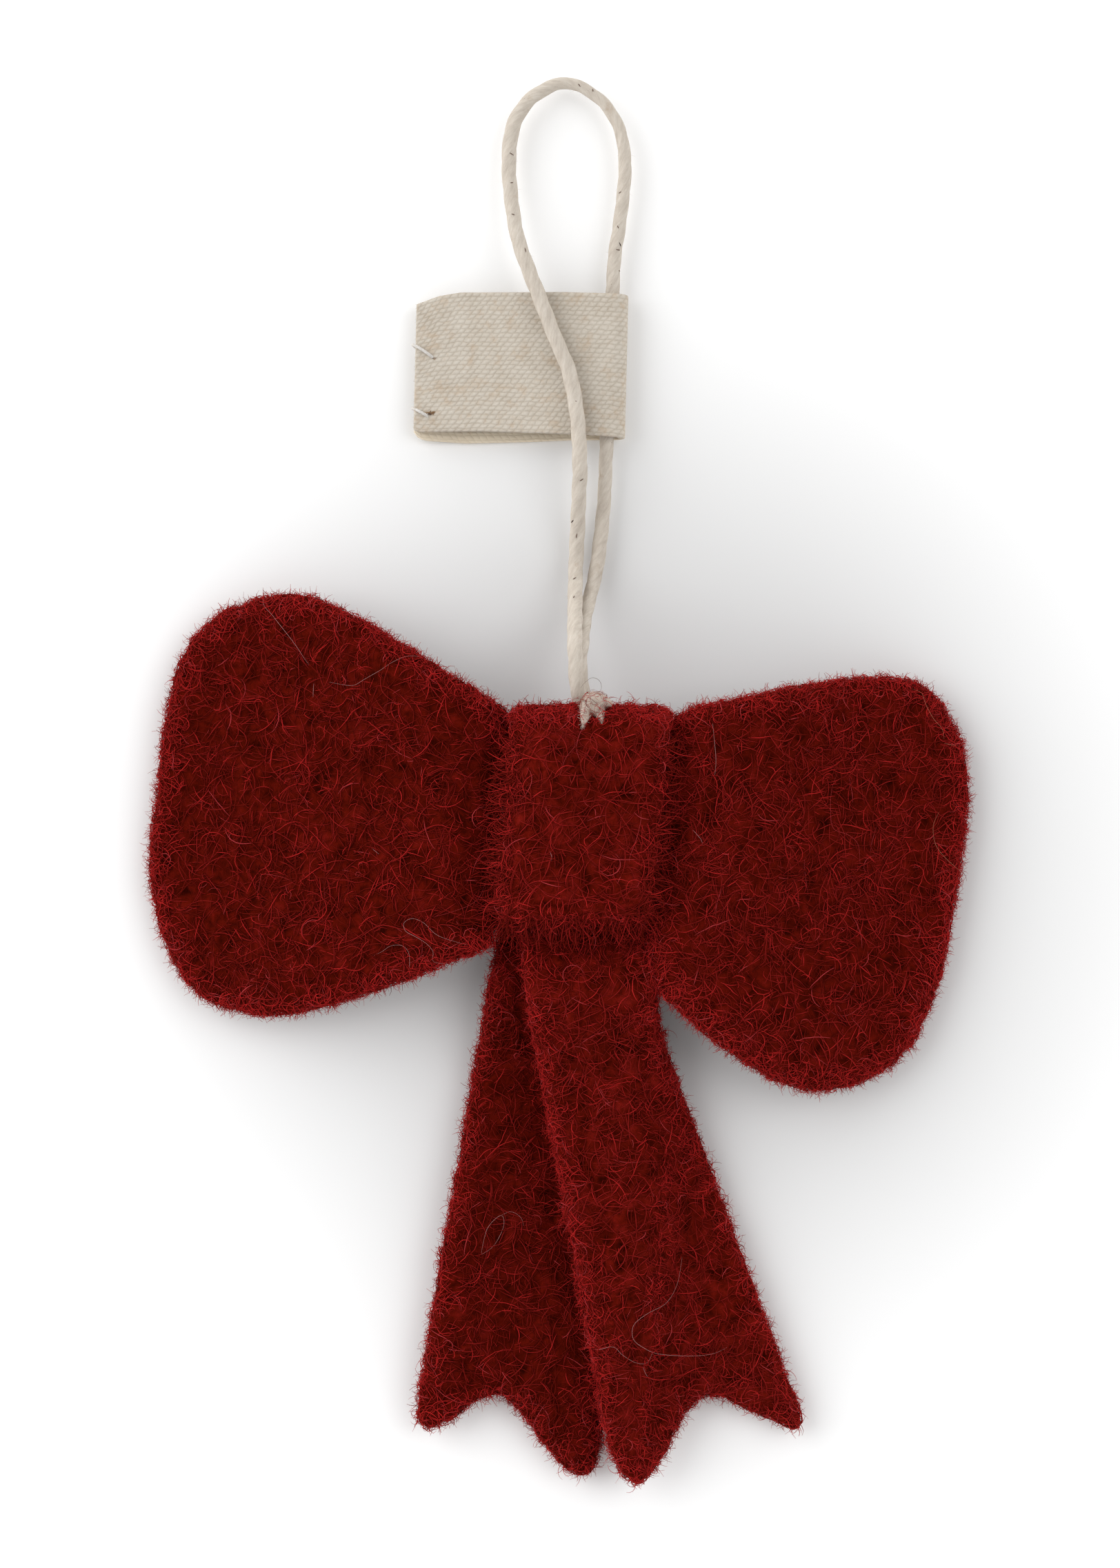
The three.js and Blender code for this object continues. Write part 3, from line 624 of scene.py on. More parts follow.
def scatter(surface, count, weights, rng):
    # places spread over the surface, more where the weights are higher
    share = surface["area"] * weights
    chosen = rng.choice(len(share), count, p=share / share.sum())
    u, v = rng.random(count), rng.random(count)
    over = u + v > 1
    u[over], v[over] = 1 - u[over], 1 - v[over]
    a, b, c = (surface["triangles"][chosen, i] for i in range(3))
    return a + (b - a) * u[:, None] + (c - a) * v[:, None], surface["facing"][chosen]


def makeFibreProfile():
    outline = bpy.data.curves.new("fibreProfile", "CURVE")
    outline.dimensions = "2D"
    triangle = outline.splines.new("POLY")
    triangle.points.add(2)
    for point, angle in zip(triangle.points, fibreForm["corners"]):
        point.co = (math.cos(math.radians(angle)), math.sin(math.radians(angle)), 0, 1)
    triangle.use_cyclic_u = True
    return addPiece("fibreProfile", outline)


fibreProfile = makeFibreProfile()


def fibresMesh(name, fibres):
    # fibres are (points, thickness at each point, shade)
    curve = bpy.data.curves.new(name, "CURVE")
    curve.dimensions = "3D"
    curve.bevel_mode, curve.bevel_object, curve.use_fill_caps = "OBJECT", fibreProfile, False
    for material in fibreMaterials:
        curve.materials.append(material)
    for points, thickness, shade in fibres:
        spline = curve.splines.new("POLY")
        spline.points.add(len(points) - 1)
        raised = [(x, y, max(z, fibreForm["lowest"]), 1) for x, y, z in points]
        spline.points.foreach_set("co", [value for place in raised for value in place])
        spline.points.foreach_set("radius", [width / 2 for width in thickness])
        spline.material_index = shade
    holder = addPiece(name + "Lines", curve)
    mesh = bpy.data.meshes.new_from_object(holder.evaluated_get(bpy.context.evaluated_depsgraph_get()))
    bpy.data.objects.remove(holder)
    bpy.data.curves.remove(curve)
    mesh.name = name
    mesh.shade_smooth()
    piece = bpy.data.objects.new(name, mesh)
    scene.collection.objects.link(piece)
    print(name, len(fibres), "fibres,", sum(len(face.vertices) - 2 for face in mesh.polygons), "triangles")
    return piece


def arched(ends, step, steps):
    # from the ends' share up to one in the middle and down again
    return ends + (1 - ends) * math.sin(math.pi * step / steps)


def taper(steps, thickness):
    return [thickness * arched(fibreForm["tip"], step, steps) for step in range(steps + 1)]


def laidFibre(tree, start, normal, habit, rng):
    # creeps over the felt in changing curls, now in it and now a little proud
    steps = habit["steps"]
    stride = rng.uniform(*habit["reach"]) / steps
    curl = rng.normal(0, habit["curl"])
    lift = rng.uniform(*habit["lift"])
    normal, point = Vector(normal), Vector(start)
    heading = normal.orthogonal().normalized()
    heading.rotate(Matrix.Rotation(rng.uniform(0, 2 * math.pi), 3, normal))
    points = []
    for step in range(steps + 1):
        proud = lift * arched(fibreForm["endLift"], step, steps) - fibreForm["sunk"]
        points.append(point + normal * proud)
        curl += rng.normal(0, habit["curl"] * fibreForm["wander"])
        heading.rotate(Matrix.Rotation(curl * stride, 3, normal))
        nearest, facing, _, _ = tree.find_nearest(point + heading * stride)
        heading, normal, point = nearest - point, facing, nearest
        heading = (heading - normal * heading.dot(normal)).normalized()
    return points, taper(steps, rng.uniform(*habit["thickness"]))


def looseHair(start, normal, habit, rng):
    # stands off the felt and curls over
    steps = habit["steps"]
    stride = rng.uniform(*habit["reach"]) / steps
    normal = Vector(normal)
    side = normal.orthogonal().normalized()
    side.rotate(Matrix.Rotation(rng.uniform(0, 2 * math.pi), 3, normal))
    lean = rng.uniform(*habit["lean"])
    heading = normal * math.cos(lean) + side * math.sin(lean)
    axis = heading.orthogonal().normalized()
    axis.rotate(Matrix.Rotation(rng.uniform(0, 2 * math.pi), 3, heading))
    curl = rng.choice((-1, 1)) * rng.uniform(*fibreForm["curlSpread"]) * habit["curl"]
    point = Vector(start) - normal * fibreForm["rooted"]
    points = [point.copy()]
    for _ in range(steps):
        heading.rotate(Matrix.Rotation(curl * stride, 3, axis))
        point = point + heading * stride
        points.append(point.copy())
    thickness = rng.uniform(*habit["thickness"])
    return points, [thickness * (1 - fibreForm["hairThins"] * step / steps) for step in range(steps + 1)]


# kinds with a lift creep over the felt, kinds with a lean stand off it
fibreHabits = {
    "mat": {"reach": (0.0013, 0.0038), "thickness": (0.00007, 0.00014), "steps": 6, "curl": 330,
            "lift": (0, 0.0003)},
    "bold": {"reach": (0.0014, 0.0048), "thickness": (0.00007, 0.00012), "steps": 8, "curl": 270,
             "lift": (0.0001, 0.00042)},
    "edge": {"reach": (0.001, 0.0028), "thickness": (0.00006, 0.00011), "steps": 6, "curl": 800,
             "lift": (0.0001, 0.0004)},
    "rim": {"reach": (0.0008, 0.002), "thickness": (0.00005, 0.00009), "steps": 5, "curl": 1200,
            "lift": (0.00015, 0.0006)},
    "hair": {"reach": (0.0007, 0.0017), "thickness": (0.00005, 0.0001), "steps": 3, "curl": 1350,
             "lean": (0.05, 1.1)},
    "fringe": {"reach": (0.0012, 0.0026), "thickness": (0.00006, 0.00012), "steps": 6, "curl": 2300,
               "lean": (0.1, 1.1)},
    "lap": {"reach": (0.0018, 0.0042), "thickness": (0.00006, 0.00012), "steps": 9, "curl": 420,
            "lift": (0.00005, 0.0003)},
}
# where each kind grows and its mix of shades; the mat has its layer's own mix
fibreKinds = {
    "mat": ("front", None), "bold": ("front", "bold"), "edge": ("edge", "edge"),
    "rim": ("rim", "rim"), "hair": ("rim", "rim"), "fringe": ("rim", "rim"),
}
# shares of deep, red, crimson, bright and pink fibres
# painted light: the band's mix is a lit copy of the wing's, and the mostly bright edge and rim mixes paint a
# highlight along the felt's outline
fibreMixes = {
    "wing": [0.28, 0.42, 0.26, 0.035, 0.005],
    "band": [0.05, 0.33, 0.52, 0.09, 0.01],
    "bold": [0.05, 0.4, 0.45, 0.09, 0.01],
    "edge": [0, 0.03, 0.27, 0.65, 0.05],
    "rim": [0, 0.02, 0.2, 0.71, 0.07],
}
# how thickly fibres grow by the way that the felt faces, in its clumps and near its outline
fuzzSpread = {
    "edgeZone": 0.0018, "edgeFacing": 0.3, "directions": 8, "fullAt": 4, "edgeLeast": 0.001,
    "rimFacing": 0.8, "offRim": 0.03, "downFacing": -0.5, "underRim": 0.4, "freeTop": 5.0,
    "frontFacing": -0.2, "onBack": 0.12, "evenShare": 0.55, "clumping": 1.2, "clumpRange": (0.15, 1.3),
    "hollowShade": 0.75, "noShare": 1e-9,
}
thinned = 1


def nearEdge(surface):
    # the share of directions in which the felt ends within the edge zone, seen from the front
    spread = fuzzSpread
    middles = surface["triangles"].mean(axis=1)
    ends = np.zeros(len(middles))
    for turn in range(spread["directions"]):
        angle = turn * 2 * math.pi / spread["directions"]
        for i in np.nonzero(surface["facing"][:, 2] > spread["edgeFacing"])[0]:
            x, y, _ = middles[i] + spread["edgeZone"] * np.array([math.cos(angle), math.sin(angle), 0])
            if castDown(surface["tree"], x, y)[0] is None:
                ends[i] += 1 / spread["fullAt"]
    return np.minimum(ends, 1)


def fuzzWeights(piece, surface):
    spread = fuzzSpread
    facing, middles = surface["facing"][:, 2], surface["triangles"].mean(axis=1)
    rim = np.where(np.abs(facing) < spread["rimFacing"], 1.0, spread["offRim"])
    rim = rim * np.where(facing > spread["downFacing"], 1.0, spread["underRim"])
    if piece == "centerBand":
        # most of the band's rims are matted into the wings, its top edge is free
        rim = rim * np.where(middles[:, 1] > bandPlace["topFree"], spread["freeTop"], 1.0)
    clump = np.array([clumpAt(middle) for middle in middles])
    thick = np.clip(spread["evenShare"] + spread["clumping"] * clump, *spread["clumpRange"])
    front = np.where(facing > spread["frontFacing"], 1.0, spread["onBack"]) * thick
    return {"front": front, "rim": rim, "edge": surface["edge"] + spread["edgeLeast"]}


def growFuzz(piece, counts, matMix, seed, side=0):
    rng = np.random.default_rng(seed)
    surface = feltSurfaces[piece]
    weights = fuzzWeights(piece, surface)
    here = np.where(surface["triangles"][:, :, 0].mean(axis=1) * side >= 0, 1.0, 0.0)
    fibres = []
    for kind, number in counts.items():
        region, mix = fibreKinds[kind]
        habit, count = fibreHabits[kind], int(number * thinned)
        starts, normals = scatter(surface, count, weights[region] * here, rng)
        # darker fibres where the mat is thin and sunk: painted shade in the felt's hollows
        lightness = rng.random(count) ** np.exp([-fuzzSpread["hollowShade"] * clumpAt(start) for start in starts])
        shades = np.searchsorted(np.cumsum(fibreMixes[mix or matMix]) - fuzzSpread["noShare"], lightness)
        for start, normal, shade in zip(starts, normals, shades):
            if "lean" in habit:
                points, widths = looseHair(start, normal, habit, rng)
            else:
                points, widths = laidFibre(surface["tree"], start, normal, habit, rng)
            fibres.append((points, widths, int(shade)))
    return fibres


def fuzzPiece(name, fibres):
    made = fibresMesh(name, fibres)
    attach(made, "bow")
    return made


feltSurfaces = {piece.name: surfaceOf(piece) for piece in (bowBody, centerBand, leftTail, rightTail)}
for surface in feltSurfaces.values():
    surface["edge"] = nearEdge(surface)
# each layer of fuzz: the felt it grows on, how many fibres of each kind, the mat's mix, a seed and its side
bandLayer = {"mat": 1700, "bold": 800, "rim": 800, "hair": 1000, "fringe": 1300}
tailRim = {"edge": 1200, "rim": 1000, "hair": 4000, "fringe": 1050}
fuzzLayers = {
    "leftWingFuzz": ("bowBody", {"mat": 3500, "bold": 1300}, "wing", 11, -1),
    # painted light: the right wing's mat takes the band's brighter mix, for the side that gets less light
    "rightWingFuzz": ("bowBody", {"mat": 3500, "bold": 1400}, "band", 12, 1),
    "wingEdgeFuzz": ("bowBody", {"edge": 3000, "rim": 2800}, "wing", 13),
    "wingHairs": ("bowBody", {"hair": 9800}, "wing", 14),
    "bandFuzz": ("centerBand", bandLayer, "band", 21),
    "leftTailFuzz": ("leftTail", {"mat": 3000, "bold": 1000}, "wing", 31),
    "rightTailFuzz": ("rightTail", {"mat": 3000, "bold": 1100}, "band", 41),
    "leftTailRimFuzz": ("leftTail", tailRim, "wing", 51),
    "rightTailRimFuzz": ("rightTail", tailRim, "band", 52),
}
fuzzPieces = {piece: [] for piece in feltSurfaces}
for name, (piece, *layer) in fuzzLayers.items():
    fuzzPieces[piece].append(fuzzPiece(name, growFuzz(piece, *layer)))
print("fuzz grown")


def topOf(x, y):
    # the height of the felt seen from the front, or none beside it
    hits = [castDown(surface["tree"], x, y)[0] for surface in feltSurfaces.values()]
    heights = [hit.z for hit in hits if hit]
    return max(heights) if heights else None


# fibres that mat the band's sides and lower edge into the felt beside them
bandLaps = {
    "seed": 61, "perSide": {-1: 360, 1: 240, 0: 300}, "inward": (0.0001, 0.0019), "aboveBottom": 0.0006,
    "bottomX": (-0.006, 0.0088), "sideTurn": 0.75, "bottomTurn": 0.7, "wander": 0.4, "sinks": 0.75,
}


def lapFibre(start, angle, rng):
    # lies over the band's edge and sinks on to the felt beside it, without following the step down
    habit = fibreHabits["lap"]
    stride = rng.uniform(*habit["reach"]) / habit["steps"]
    curl, lift = rng.normal(0, habit["curl"]), rng.uniform(*habit["lift"])
    x, y = start
    height = topOf(x, y)
    points = []
    for _ in range(habit["steps"] + 1):
        points.append(Vector((x, y, height + lift)))
        angle += curl * stride
        curl += rng.normal(0, habit["curl"] * bandLaps["wander"])
        x, y = x + math.cos(angle) * stride, y + math.sin(angle) * stride
        height = max(topOf(x, y) or 0, height - bandLaps["sinks"] * stride)
    return points, taper(habit["steps"], rng.uniform(*habit["thickness"]))


def growLaps(laps):
    rng = np.random.default_rng(laps["seed"])
    fibres = []
    for side, count in laps["perSide"].items():
        for _ in range(int(count * thinned)):
            inward = rng.uniform(*laps["inward"])
            if side:
                y = rng.uniform(bandPlace["bottom"] + laps["aboveBottom"], bandPlace["sidesEnd"])
                rise = y - bandPlace["middleY"]
                half = bandPlace["halfWidth"] + bandPlace["taper"] * rise - inward
                x = bandPlace["middleX"] + bandPlace["lean"] * rise + side * half
                angle = (0 if side > 0 else math.pi) + rng.normal(0, laps["sideTurn"])
            else:
                x, y = rng.uniform(*laps["bottomX"]), bandPlace["bottom"] + inward
                angle = -math.pi / 2 + rng.normal(0, laps["bottomTurn"])
            if topOf(x, y) is None:
                continue
            points, widths = lapFibre((x, y), angle, rng)
            fibres.append((points, widths, int(rng.choice(5, p=fibreMixes["bold"]))))
    fuzzPieces["centerBand"].append(fuzzPiece("bandLaps", fibres))


growLaps(bandLaps)

# single loose fibres, followed one by one in the photograph: shade, thickness and height above the felt in
# mm,
# places in pixels
strayFibres = {
    "rightTail": [
        ("fibrePale", 0.05, 0.3, [(989, 1823), (982, 1861), (966, 1889), (938, 1905), (919, 1921),
         (918, 1941), (933, 1954), (955, 1963), (999, 1966), (1032, 1963), (1054, 1954)]),
        ("fibrePale", 0.045, 0.2, [(851, 1954), (867, 1957), (889, 1953), (903, 1965), (922, 1976),
         (938, 1976), (947, 1960)]),
        ("fibrePale", 0.045, 0.2, [(932, 1982), (938, 1995), (947, 2001)]),
        ("fibrePink", 0.045, 0.25, [(801, 1790), (810, 1803), (829, 1809), (845, 1809), (862, 1803)]),
        ("fibreCrimson", 0.05, 0.2, [(963, 1732), (959, 1751), (956, 1773)]),
    ],
    "leftTail": [
        ("fibrePale", 0.045, 0.3, [(697, 1820), (716, 1806), (730, 1779), (727, 1762), (708, 1779),
         (700, 1806), (698, 1820)]),
        ("fibrePale", 0.04, 0.25, [(727, 1762), (741, 1757), (755, 1765), (760, 1779)]),
    ],
    "band": [
        ("fibrePink", 0.055, 0.3, [(929, 1176), (929, 1191), (922, 1219), (914, 1240), (912, 1251)]),
        ("fibreCrimson", 0.06, 0.3, [(755, 1072), (767, 1084), (782, 1099), (791, 1112), (804, 1121),
         (810, 1130)]),
        ("fibrePink", 0.045, 0.25, [(831, 1069), (834, 1081), (825, 1093), (819, 1102), (811, 1127)]),
        ("fibreCrimson", 0.06, 0.3, [(813, 1151), (831, 1145), (850, 1144), (871, 1151), (883, 1164)]),
        ("fibrePink", 0.045, 0.25, [(940, 1066), (934, 1050), (951, 1041), (972, 1040)]),
        ("fibrePale", 0.045, 0.2, [(797, 1234), (800, 1242), (799, 1249)]),
        ("fibrePale", 0.04, 0.3, [(705, 1183), (714, 1181), (724, 1187), (730, 1191)]),
        ("fibrePale", 0.06, 0.6, [(722, 1160), (727, 1168), (729, 1180), (724, 1190)]),
        ("fibrePink", 0.08, 0.55, [(732, 1162), (727, 1172), (732, 1184), (729, 1192)]),
        ("fibrePale", 0.06, 0.5, [(726, 1158), (731, 1170), (725, 1178)]),
        ("fibrePink", 0.08, 0.5, [(719, 1172), (727, 1176), (735, 1172)]),
    ],
    "leftWing": [
        ("fibrePale", 0.05, 0.25, [(381, 868), (384, 880), (395, 892), (401, 900), (413, 915), (429, 936),
         (441, 954), (448, 964)]),
        ("fibrePale", 0.045, 0.3, [(477, 989), (497, 993), (513, 994), (529, 985), (550, 973), (570, 960),
         (590, 952), (610, 952)]),
        ("fibrePink", 0.045, 0.2, [(477, 886), (483, 902), (493, 924)]),
        ("fibrePale", 0.05, 0.2, [(455, 991), (454, 1011)]),
        ("fibrePink", 0.04, 0.2, [(558, 1035), (558, 1023), (570, 1019), (590, 1023)]),
        ("fibrePink", 0.045, 0.2, [(300, 1294), (308, 1288), (319, 1290), (319, 1296)]),
        ("fibrePink", 0.045, 0.25, [(369, 1396), (385, 1404), (391, 1416), (385, 1433), (373, 1449),
         (361, 1447), (356, 1433), (363, 1423), (377, 1425)]),
        ("fibreCrimson", 0.055, 0.25, [(230, 1348), (244, 1352), (258, 1362), (262, 1376), (256, 1392)]),
        ("fibrePale", 0.045, 0.25, [(541, 1386), (554, 1380), (566, 1372), (582, 1371), (592, 1380),
         (594, 1396), (592, 1416)]),
        ("fibrePale", 0.05, 0.3, [(678, 1370), (662, 1366), (634, 1356), (614, 1338), (598, 1332),
         (586, 1338), (588, 1350), (602, 1358), (618, 1368), (628, 1380), (628, 1394), (646, 1398)]),
        ("fibrePale", 0.05, 0.15, [(539, 1230), (550, 1239)]),
        ("fibrePink", 0.045, 0.25, [(702, 1224), (708, 1260), (698, 1296), (682, 1312), (650, 1324),
         (626, 1330)]),
        ("fibreCrimson", 0.05, 0.25, [(632, 1117), (646, 1109), (666, 1105), (686, 1103)]),
        ("fibrePink", 0.045, 0.2, [(373, 1298), (377, 1280), (381, 1268), (409, 1272), (423, 1278)]),
        ("fibrePink", 0.045, 0.2, [(408, 1332), (409, 1342)]),
        ("fibreCrimson", 0.05, 0.2, [(489, 1130), (498, 1141), (506, 1154)]),
        ("fibreCrimson", 0.05, 0.2, [(367, 1082), (382, 1085), (397, 1084), (406, 1072)]),
    ],
    "rightWing": [
        ("fibrePale", 0.05, 0.3, [(1033, 1048), (1036, 1078), (1038, 1103), (1036, 1127)]),
        ("fibreTan", 0.045, 0.25, [(1322, 999), (1336, 1005), (1342, 1021), (1353, 1042), (1365, 1056),
         (1369, 1072)]),
        ("fibreTan", 0.045, 0.2, [(1369, 1078), (1387, 1082)]),
        ("fibreTan", 0.045, 0.25, [(1361, 1178), (1353, 1197), (1355, 1221), (1365, 1238), (1381, 1254),
         (1396, 1266)]),
        ("fibrePink", 0.045, 0.25, [(1214, 1121), (1206, 1144), (1204, 1172), (1208, 1201), (1230, 1211),
         (1244, 1225), (1247, 1254)]),
        ("fibreCrimson", 0.055, 0.25, [(1226, 1282), (1220, 1307), (1218, 1327), (1230, 1348),
         (1247, 1362), (1259, 1370)]),
        ("fibreCrimson", 0.05, 0.25, [(1100, 1327), (1112, 1338), (1132, 1346), (1153, 1346)]),
        ("fibrePale", 0.05, 0.25, [(1004, 1203), (1016, 1217), (1019, 1226)]),
        ("fibreCrimson", 0.055, 0.25, [(1279, 1201), (1296, 1213), (1308, 1229), (1312, 1254),
         (1306, 1287)]),
        ("fibreCrimson", 0.05, 0.2, [(1293, 1423), (1289, 1442), (1279, 1452), (1271, 1452)]),
        ("fibreCrimson", 0.05, 0.2, [(1289, 1466), (1291, 1487), (1283, 1503), (1279, 1519)]),
        ("fibrePink", 0.045, 0.2, [(1216, 993), (1216, 1013), (1210, 1027), (1193, 1033)]),
        ("fibreCrimson", 0.05, 0.2, [(1238, 1031), (1267, 1038)]),
        ("fibreCrimson", 0.05, 0.2, [(1261, 1097), (1271, 1099), (1269, 1111), (1259, 1111)]),
        ("fibrePink", 0.045, 0.2, [(1157, 1080), (1181, 1095)]),
        ("fibreCrimson", 0.05, 0.2, [(1075, 1358), (1091, 1368)]),
        ("fibrePink", 0.045, 0.2, [(1234, 1476), (1251, 1495), (1257, 1507)]),
        ("fibreCrimson", 0.05, 0.2, [(1149, 1046), (1173, 1044)]),
    ],
}

strayPiece = {"rightTail": "rightTail", "leftTail": "leftTail", "band": "centerBand",
              "leftWing": "bowBody", "rightWing": "bowBody"}
strayForm = {"usualHeight": 8, "step": 0.0003, "slimmer": 0.9}


def layStrays():
    usual = strayForm["usualHeight"]
    for region, strays in strayFibres.items():
        fibres = []
        for shade, thickness, proud, places in strays:
            line = []
            for x, y in places:
                seen = photoPoint(x, y, usual) * mm
                height = topOf(seen.x, seen.y)
                if height is None:
                    height = line[-1].z if line else usual * mm
                line.append(Vector((*(photoPoint(x, y, height / mm) * mm).xy, height + proud * mm)))
            points = splineThrough(line, strayForm["step"])
            for end in (0, -1):
                points[end].z -= proud * mm
            widths = taper(len(points) - 1, thickness * mm * strayForm["slimmer"])
            fibres.append((points, widths, shadeIndex[shade]))
        fuzzPieces[strayPiece[region]].append(fuzzPiece(region + "Strays", fibres))


layStrays()


# String knot: a short arch of cord with two frayed points, on the band's top edge
stringKnot = {
    # places in mm on the bow's face with the cord's radius there
    "arch": [(2.5, 32.4, 0.24), (2.58, 32.8, 0.5), (2.76, 33.5, 0.68), (2.97, 34.25, 0.82), (3.5, 34.9, 0.95),
             (4.15, 34.9, 0.9), (4.85, 34.7, 0.6), (5.5, 34.45, 0.28)],
    "rightPoint": [(3.65, 34.8, 0.8), (3.9, 34.3, 0.8), (4.14, 33.65, 0.66), (4.28, 33.1, 0.44),
                   (4.32, 32.75, 0.2)],
    "middle": [(2.9, 33.9, 0.6), (3.35, 34.0, 0.85), (3.85, 33.95, 0.85), (4.3, 34.0, 0.5)],
    "lowest": 11.0, "seat": 0.7, "step": 0.0001, "lobes": 3, "lobeDepth": 0.1, "turnLength": 0.006,
    "voxel": 0.00011, "smoothing": 4, "ridge": 0.00006, "ridgesPerMetre": (5200, 1300, 2500),
}


def knotLine(places):
    line = []
    for x, y, radius in places:
        height = topOf(x * mm, y * mm)
        height = max(stringKnot["lowest"], height / mm + stringKnot["seat"] * radius if height else 0)
        line.append((x * mm, y * mm, height * mm))
    return splineThrough(line, stringKnot["step"])


def knotLimb(name, form):
    places = form[name]
    shares = np.linspace(0, 1, len(places))
    radii = [place[2] * mm for place in places]

    def radiusAt(share):
        return float(np.interp(share, shares, radii))

    line = knotLine(places)
    return makeCord(name, line, 1, form["lobes"], form["lobeDepth"], form["turnLength"], swellAt=radiusAt)


def makeKnot(form):
    limbs = [knotLimb(name, form) for name in ("arch", "rightPoint", "middle")]
    bm = bmesh.new()
    for limb in limbs:
        bm.from_mesh(limb)
    knot = addPiece("stringKnot", finishMesh(bm, bpy.data.meshes.new("stringKnot")))
    remeshEvenly(knot, form["voxel"])
    bm = bmesh.new()
    bm.from_mesh(knot.data)
    smoothEvenly(bm, form["smoothing"])
    for vert in bm.verts:
        # fine ridges that run down towards the frayed points
        streak = noise.noise(Vector([value * scale for value, scale in zip(vert.co, form["ridgesPerMetre"])]))
        vert.co += vert.normal * form["ridge"] * streak
    finishMesh(bm, knot.data)
    knot.data.materials.clear()
    knot.data.materials.append(knotCotton)
    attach(knot, "bow")
    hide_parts("string_knot")
    return knot


knotPiece = makeKnot(stringKnot)

# on the knot: cotton ends that fan out of each point, soft hairs, caught red wool, and one brown hair that
# loops out beside the strand, by its places in the photograph
knotDress = {
    "seed": 51, "ends": 60, "endsAside": 0.09, "endsUp": (0, 0.5), "endsProud": (0.00005, 0.0003),
    "besideHeight": 0.0125, "endsTurn": (-90, 13), "endsReach": (0.2, 0.65), "wave": 0.00006, "waveTurn": 3,
    "shares": (0, 0.35, 0.7, 1), "endsWidths": [0.00005, 0.000045, 0.00003, 0.000018],
    "places": 300, "backFacing": -0.3, "onBack": 0.1, "hairs": slice(0, 110), "wool": slice(110, 290),
    "hairHabit": {**fibreHabits["hair"], "reach": (0.0002, 0.0006)},
    "woolHabit": {**fibreHabits["rim"], "lift": (0.00003, 0.0003), "reach": (0.0005, 0.0016),
                  "thickness": (0.00002, 0.00004)},
    "woolShades": [1, 2, 3, 4, 4, 5],
    "brownHair": [(842, 998), (847, 991), (858, 983), (868, 986), (872, 994), (871, 1001), (865, 1004)],
    "brownHeight": 11.8, "brownStep": 0.0002, "brownWidth": 0.00004,
}


def growKnotHairs(dress):
    rng = np.random.default_rng(dress["seed"])
    surface = surfaceOf(knotPiece)
    cotton = shadeIndex["hairCotton"]
    fibres = []
    for x, y in (place[:2] for place in (stringKnot["arch"][0], stringKnot["rightPoint"][-1])):
        for _ in range(dress["ends"]):
            aside, up = rng.normal(0, dress["endsAside"]), rng.uniform(*dress["endsUp"])
            start = Vector(((x + aside) * mm, (y + up) * mm, 0))
            start.z = (topOf(start.x, start.y) or dress["besideHeight"]) + rng.uniform(*dress["endsProud"])
            angle = math.radians(rng.normal(*dress["endsTurn"]))
            reach = rng.uniform(*dress["endsReach"]) * mm
            ahead = Vector((math.cos(angle), math.sin(angle), 0)) * reach
            points = []
            for share in dress["shares"]:
                wave = dress["wave"] * math.sin(dress["waveTurn"] * share)
                points.append(start + ahead * share + Vector((0, 0, wave)))
            fibres.append((points, dress["endsWidths"], cotton))
    weights = np.where(surface["facing"][:, 2] > dress["backFacing"], 1.0, dress["onBack"])
    starts, normals = scatter(surface, dress["places"], weights, rng)
    for start, normal in zip(starts[dress["hairs"]], normals[dress["hairs"]]):
        fibres.append((*looseHair(start, normal, dress["hairHabit"], rng), cotton))
    for start, normal in zip(starts[dress["wool"]], normals[dress["wool"]]):
        points, widths = laidFibre(surface["tree"], start, normal, dress["woolHabit"], rng)
        fibres.append((points, widths, int(rng.choice(dress["woolShades"]))))
    places = [photoPoint(x, y, dress["brownHeight"]) * mm for x, y in dress["brownHair"]]
    loop = splineThrough(places, dress["brownStep"])
    fibres.append((loop, taper(len(loop) - 1, dress["brownWidth"]), shadeIndex["hairBrown"]))
    made = fibresMesh("knotHairs", fibres)
    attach(made, "bow")
    return made


knotHairs = growKnotHairs(knotDress)
print("knot made")

# String: its material and what has caught on it
stringPiece.data.materials.append(cottonString)
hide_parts("hanging_string")
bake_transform(stringPiece)

stringHairs = {"seed": 61, "count": 420, "outsideBand": 0.0396, "reach": (0.0002, 0.0007),
               "thickness": (0.000015, 0.000026), "steps": 3, "curl": 1800, "lean": (0.5, 1.4)}
# small flecks of bark and husk on the string, by their places in the photograph
stringFlecks = {
    "hairBrown": [(840, 125), (862, 128), (742, 225), (742, 267), (744, 314), (762, 367), (899, 280),
                  (896, 330), (896, 363), (898, 393), (843, 699), (836, 778), (833, 840), (832, 868)],
    "hairDark": [(899, 355), (830, 757)],
}
fleckForm = {"seenAt": 2, "besideHeight": 0.003, "reach": (0.00012, 0.00026), "proud": 0.00002,
             "widths": [0.00007, 0.00014, 0.00006]}


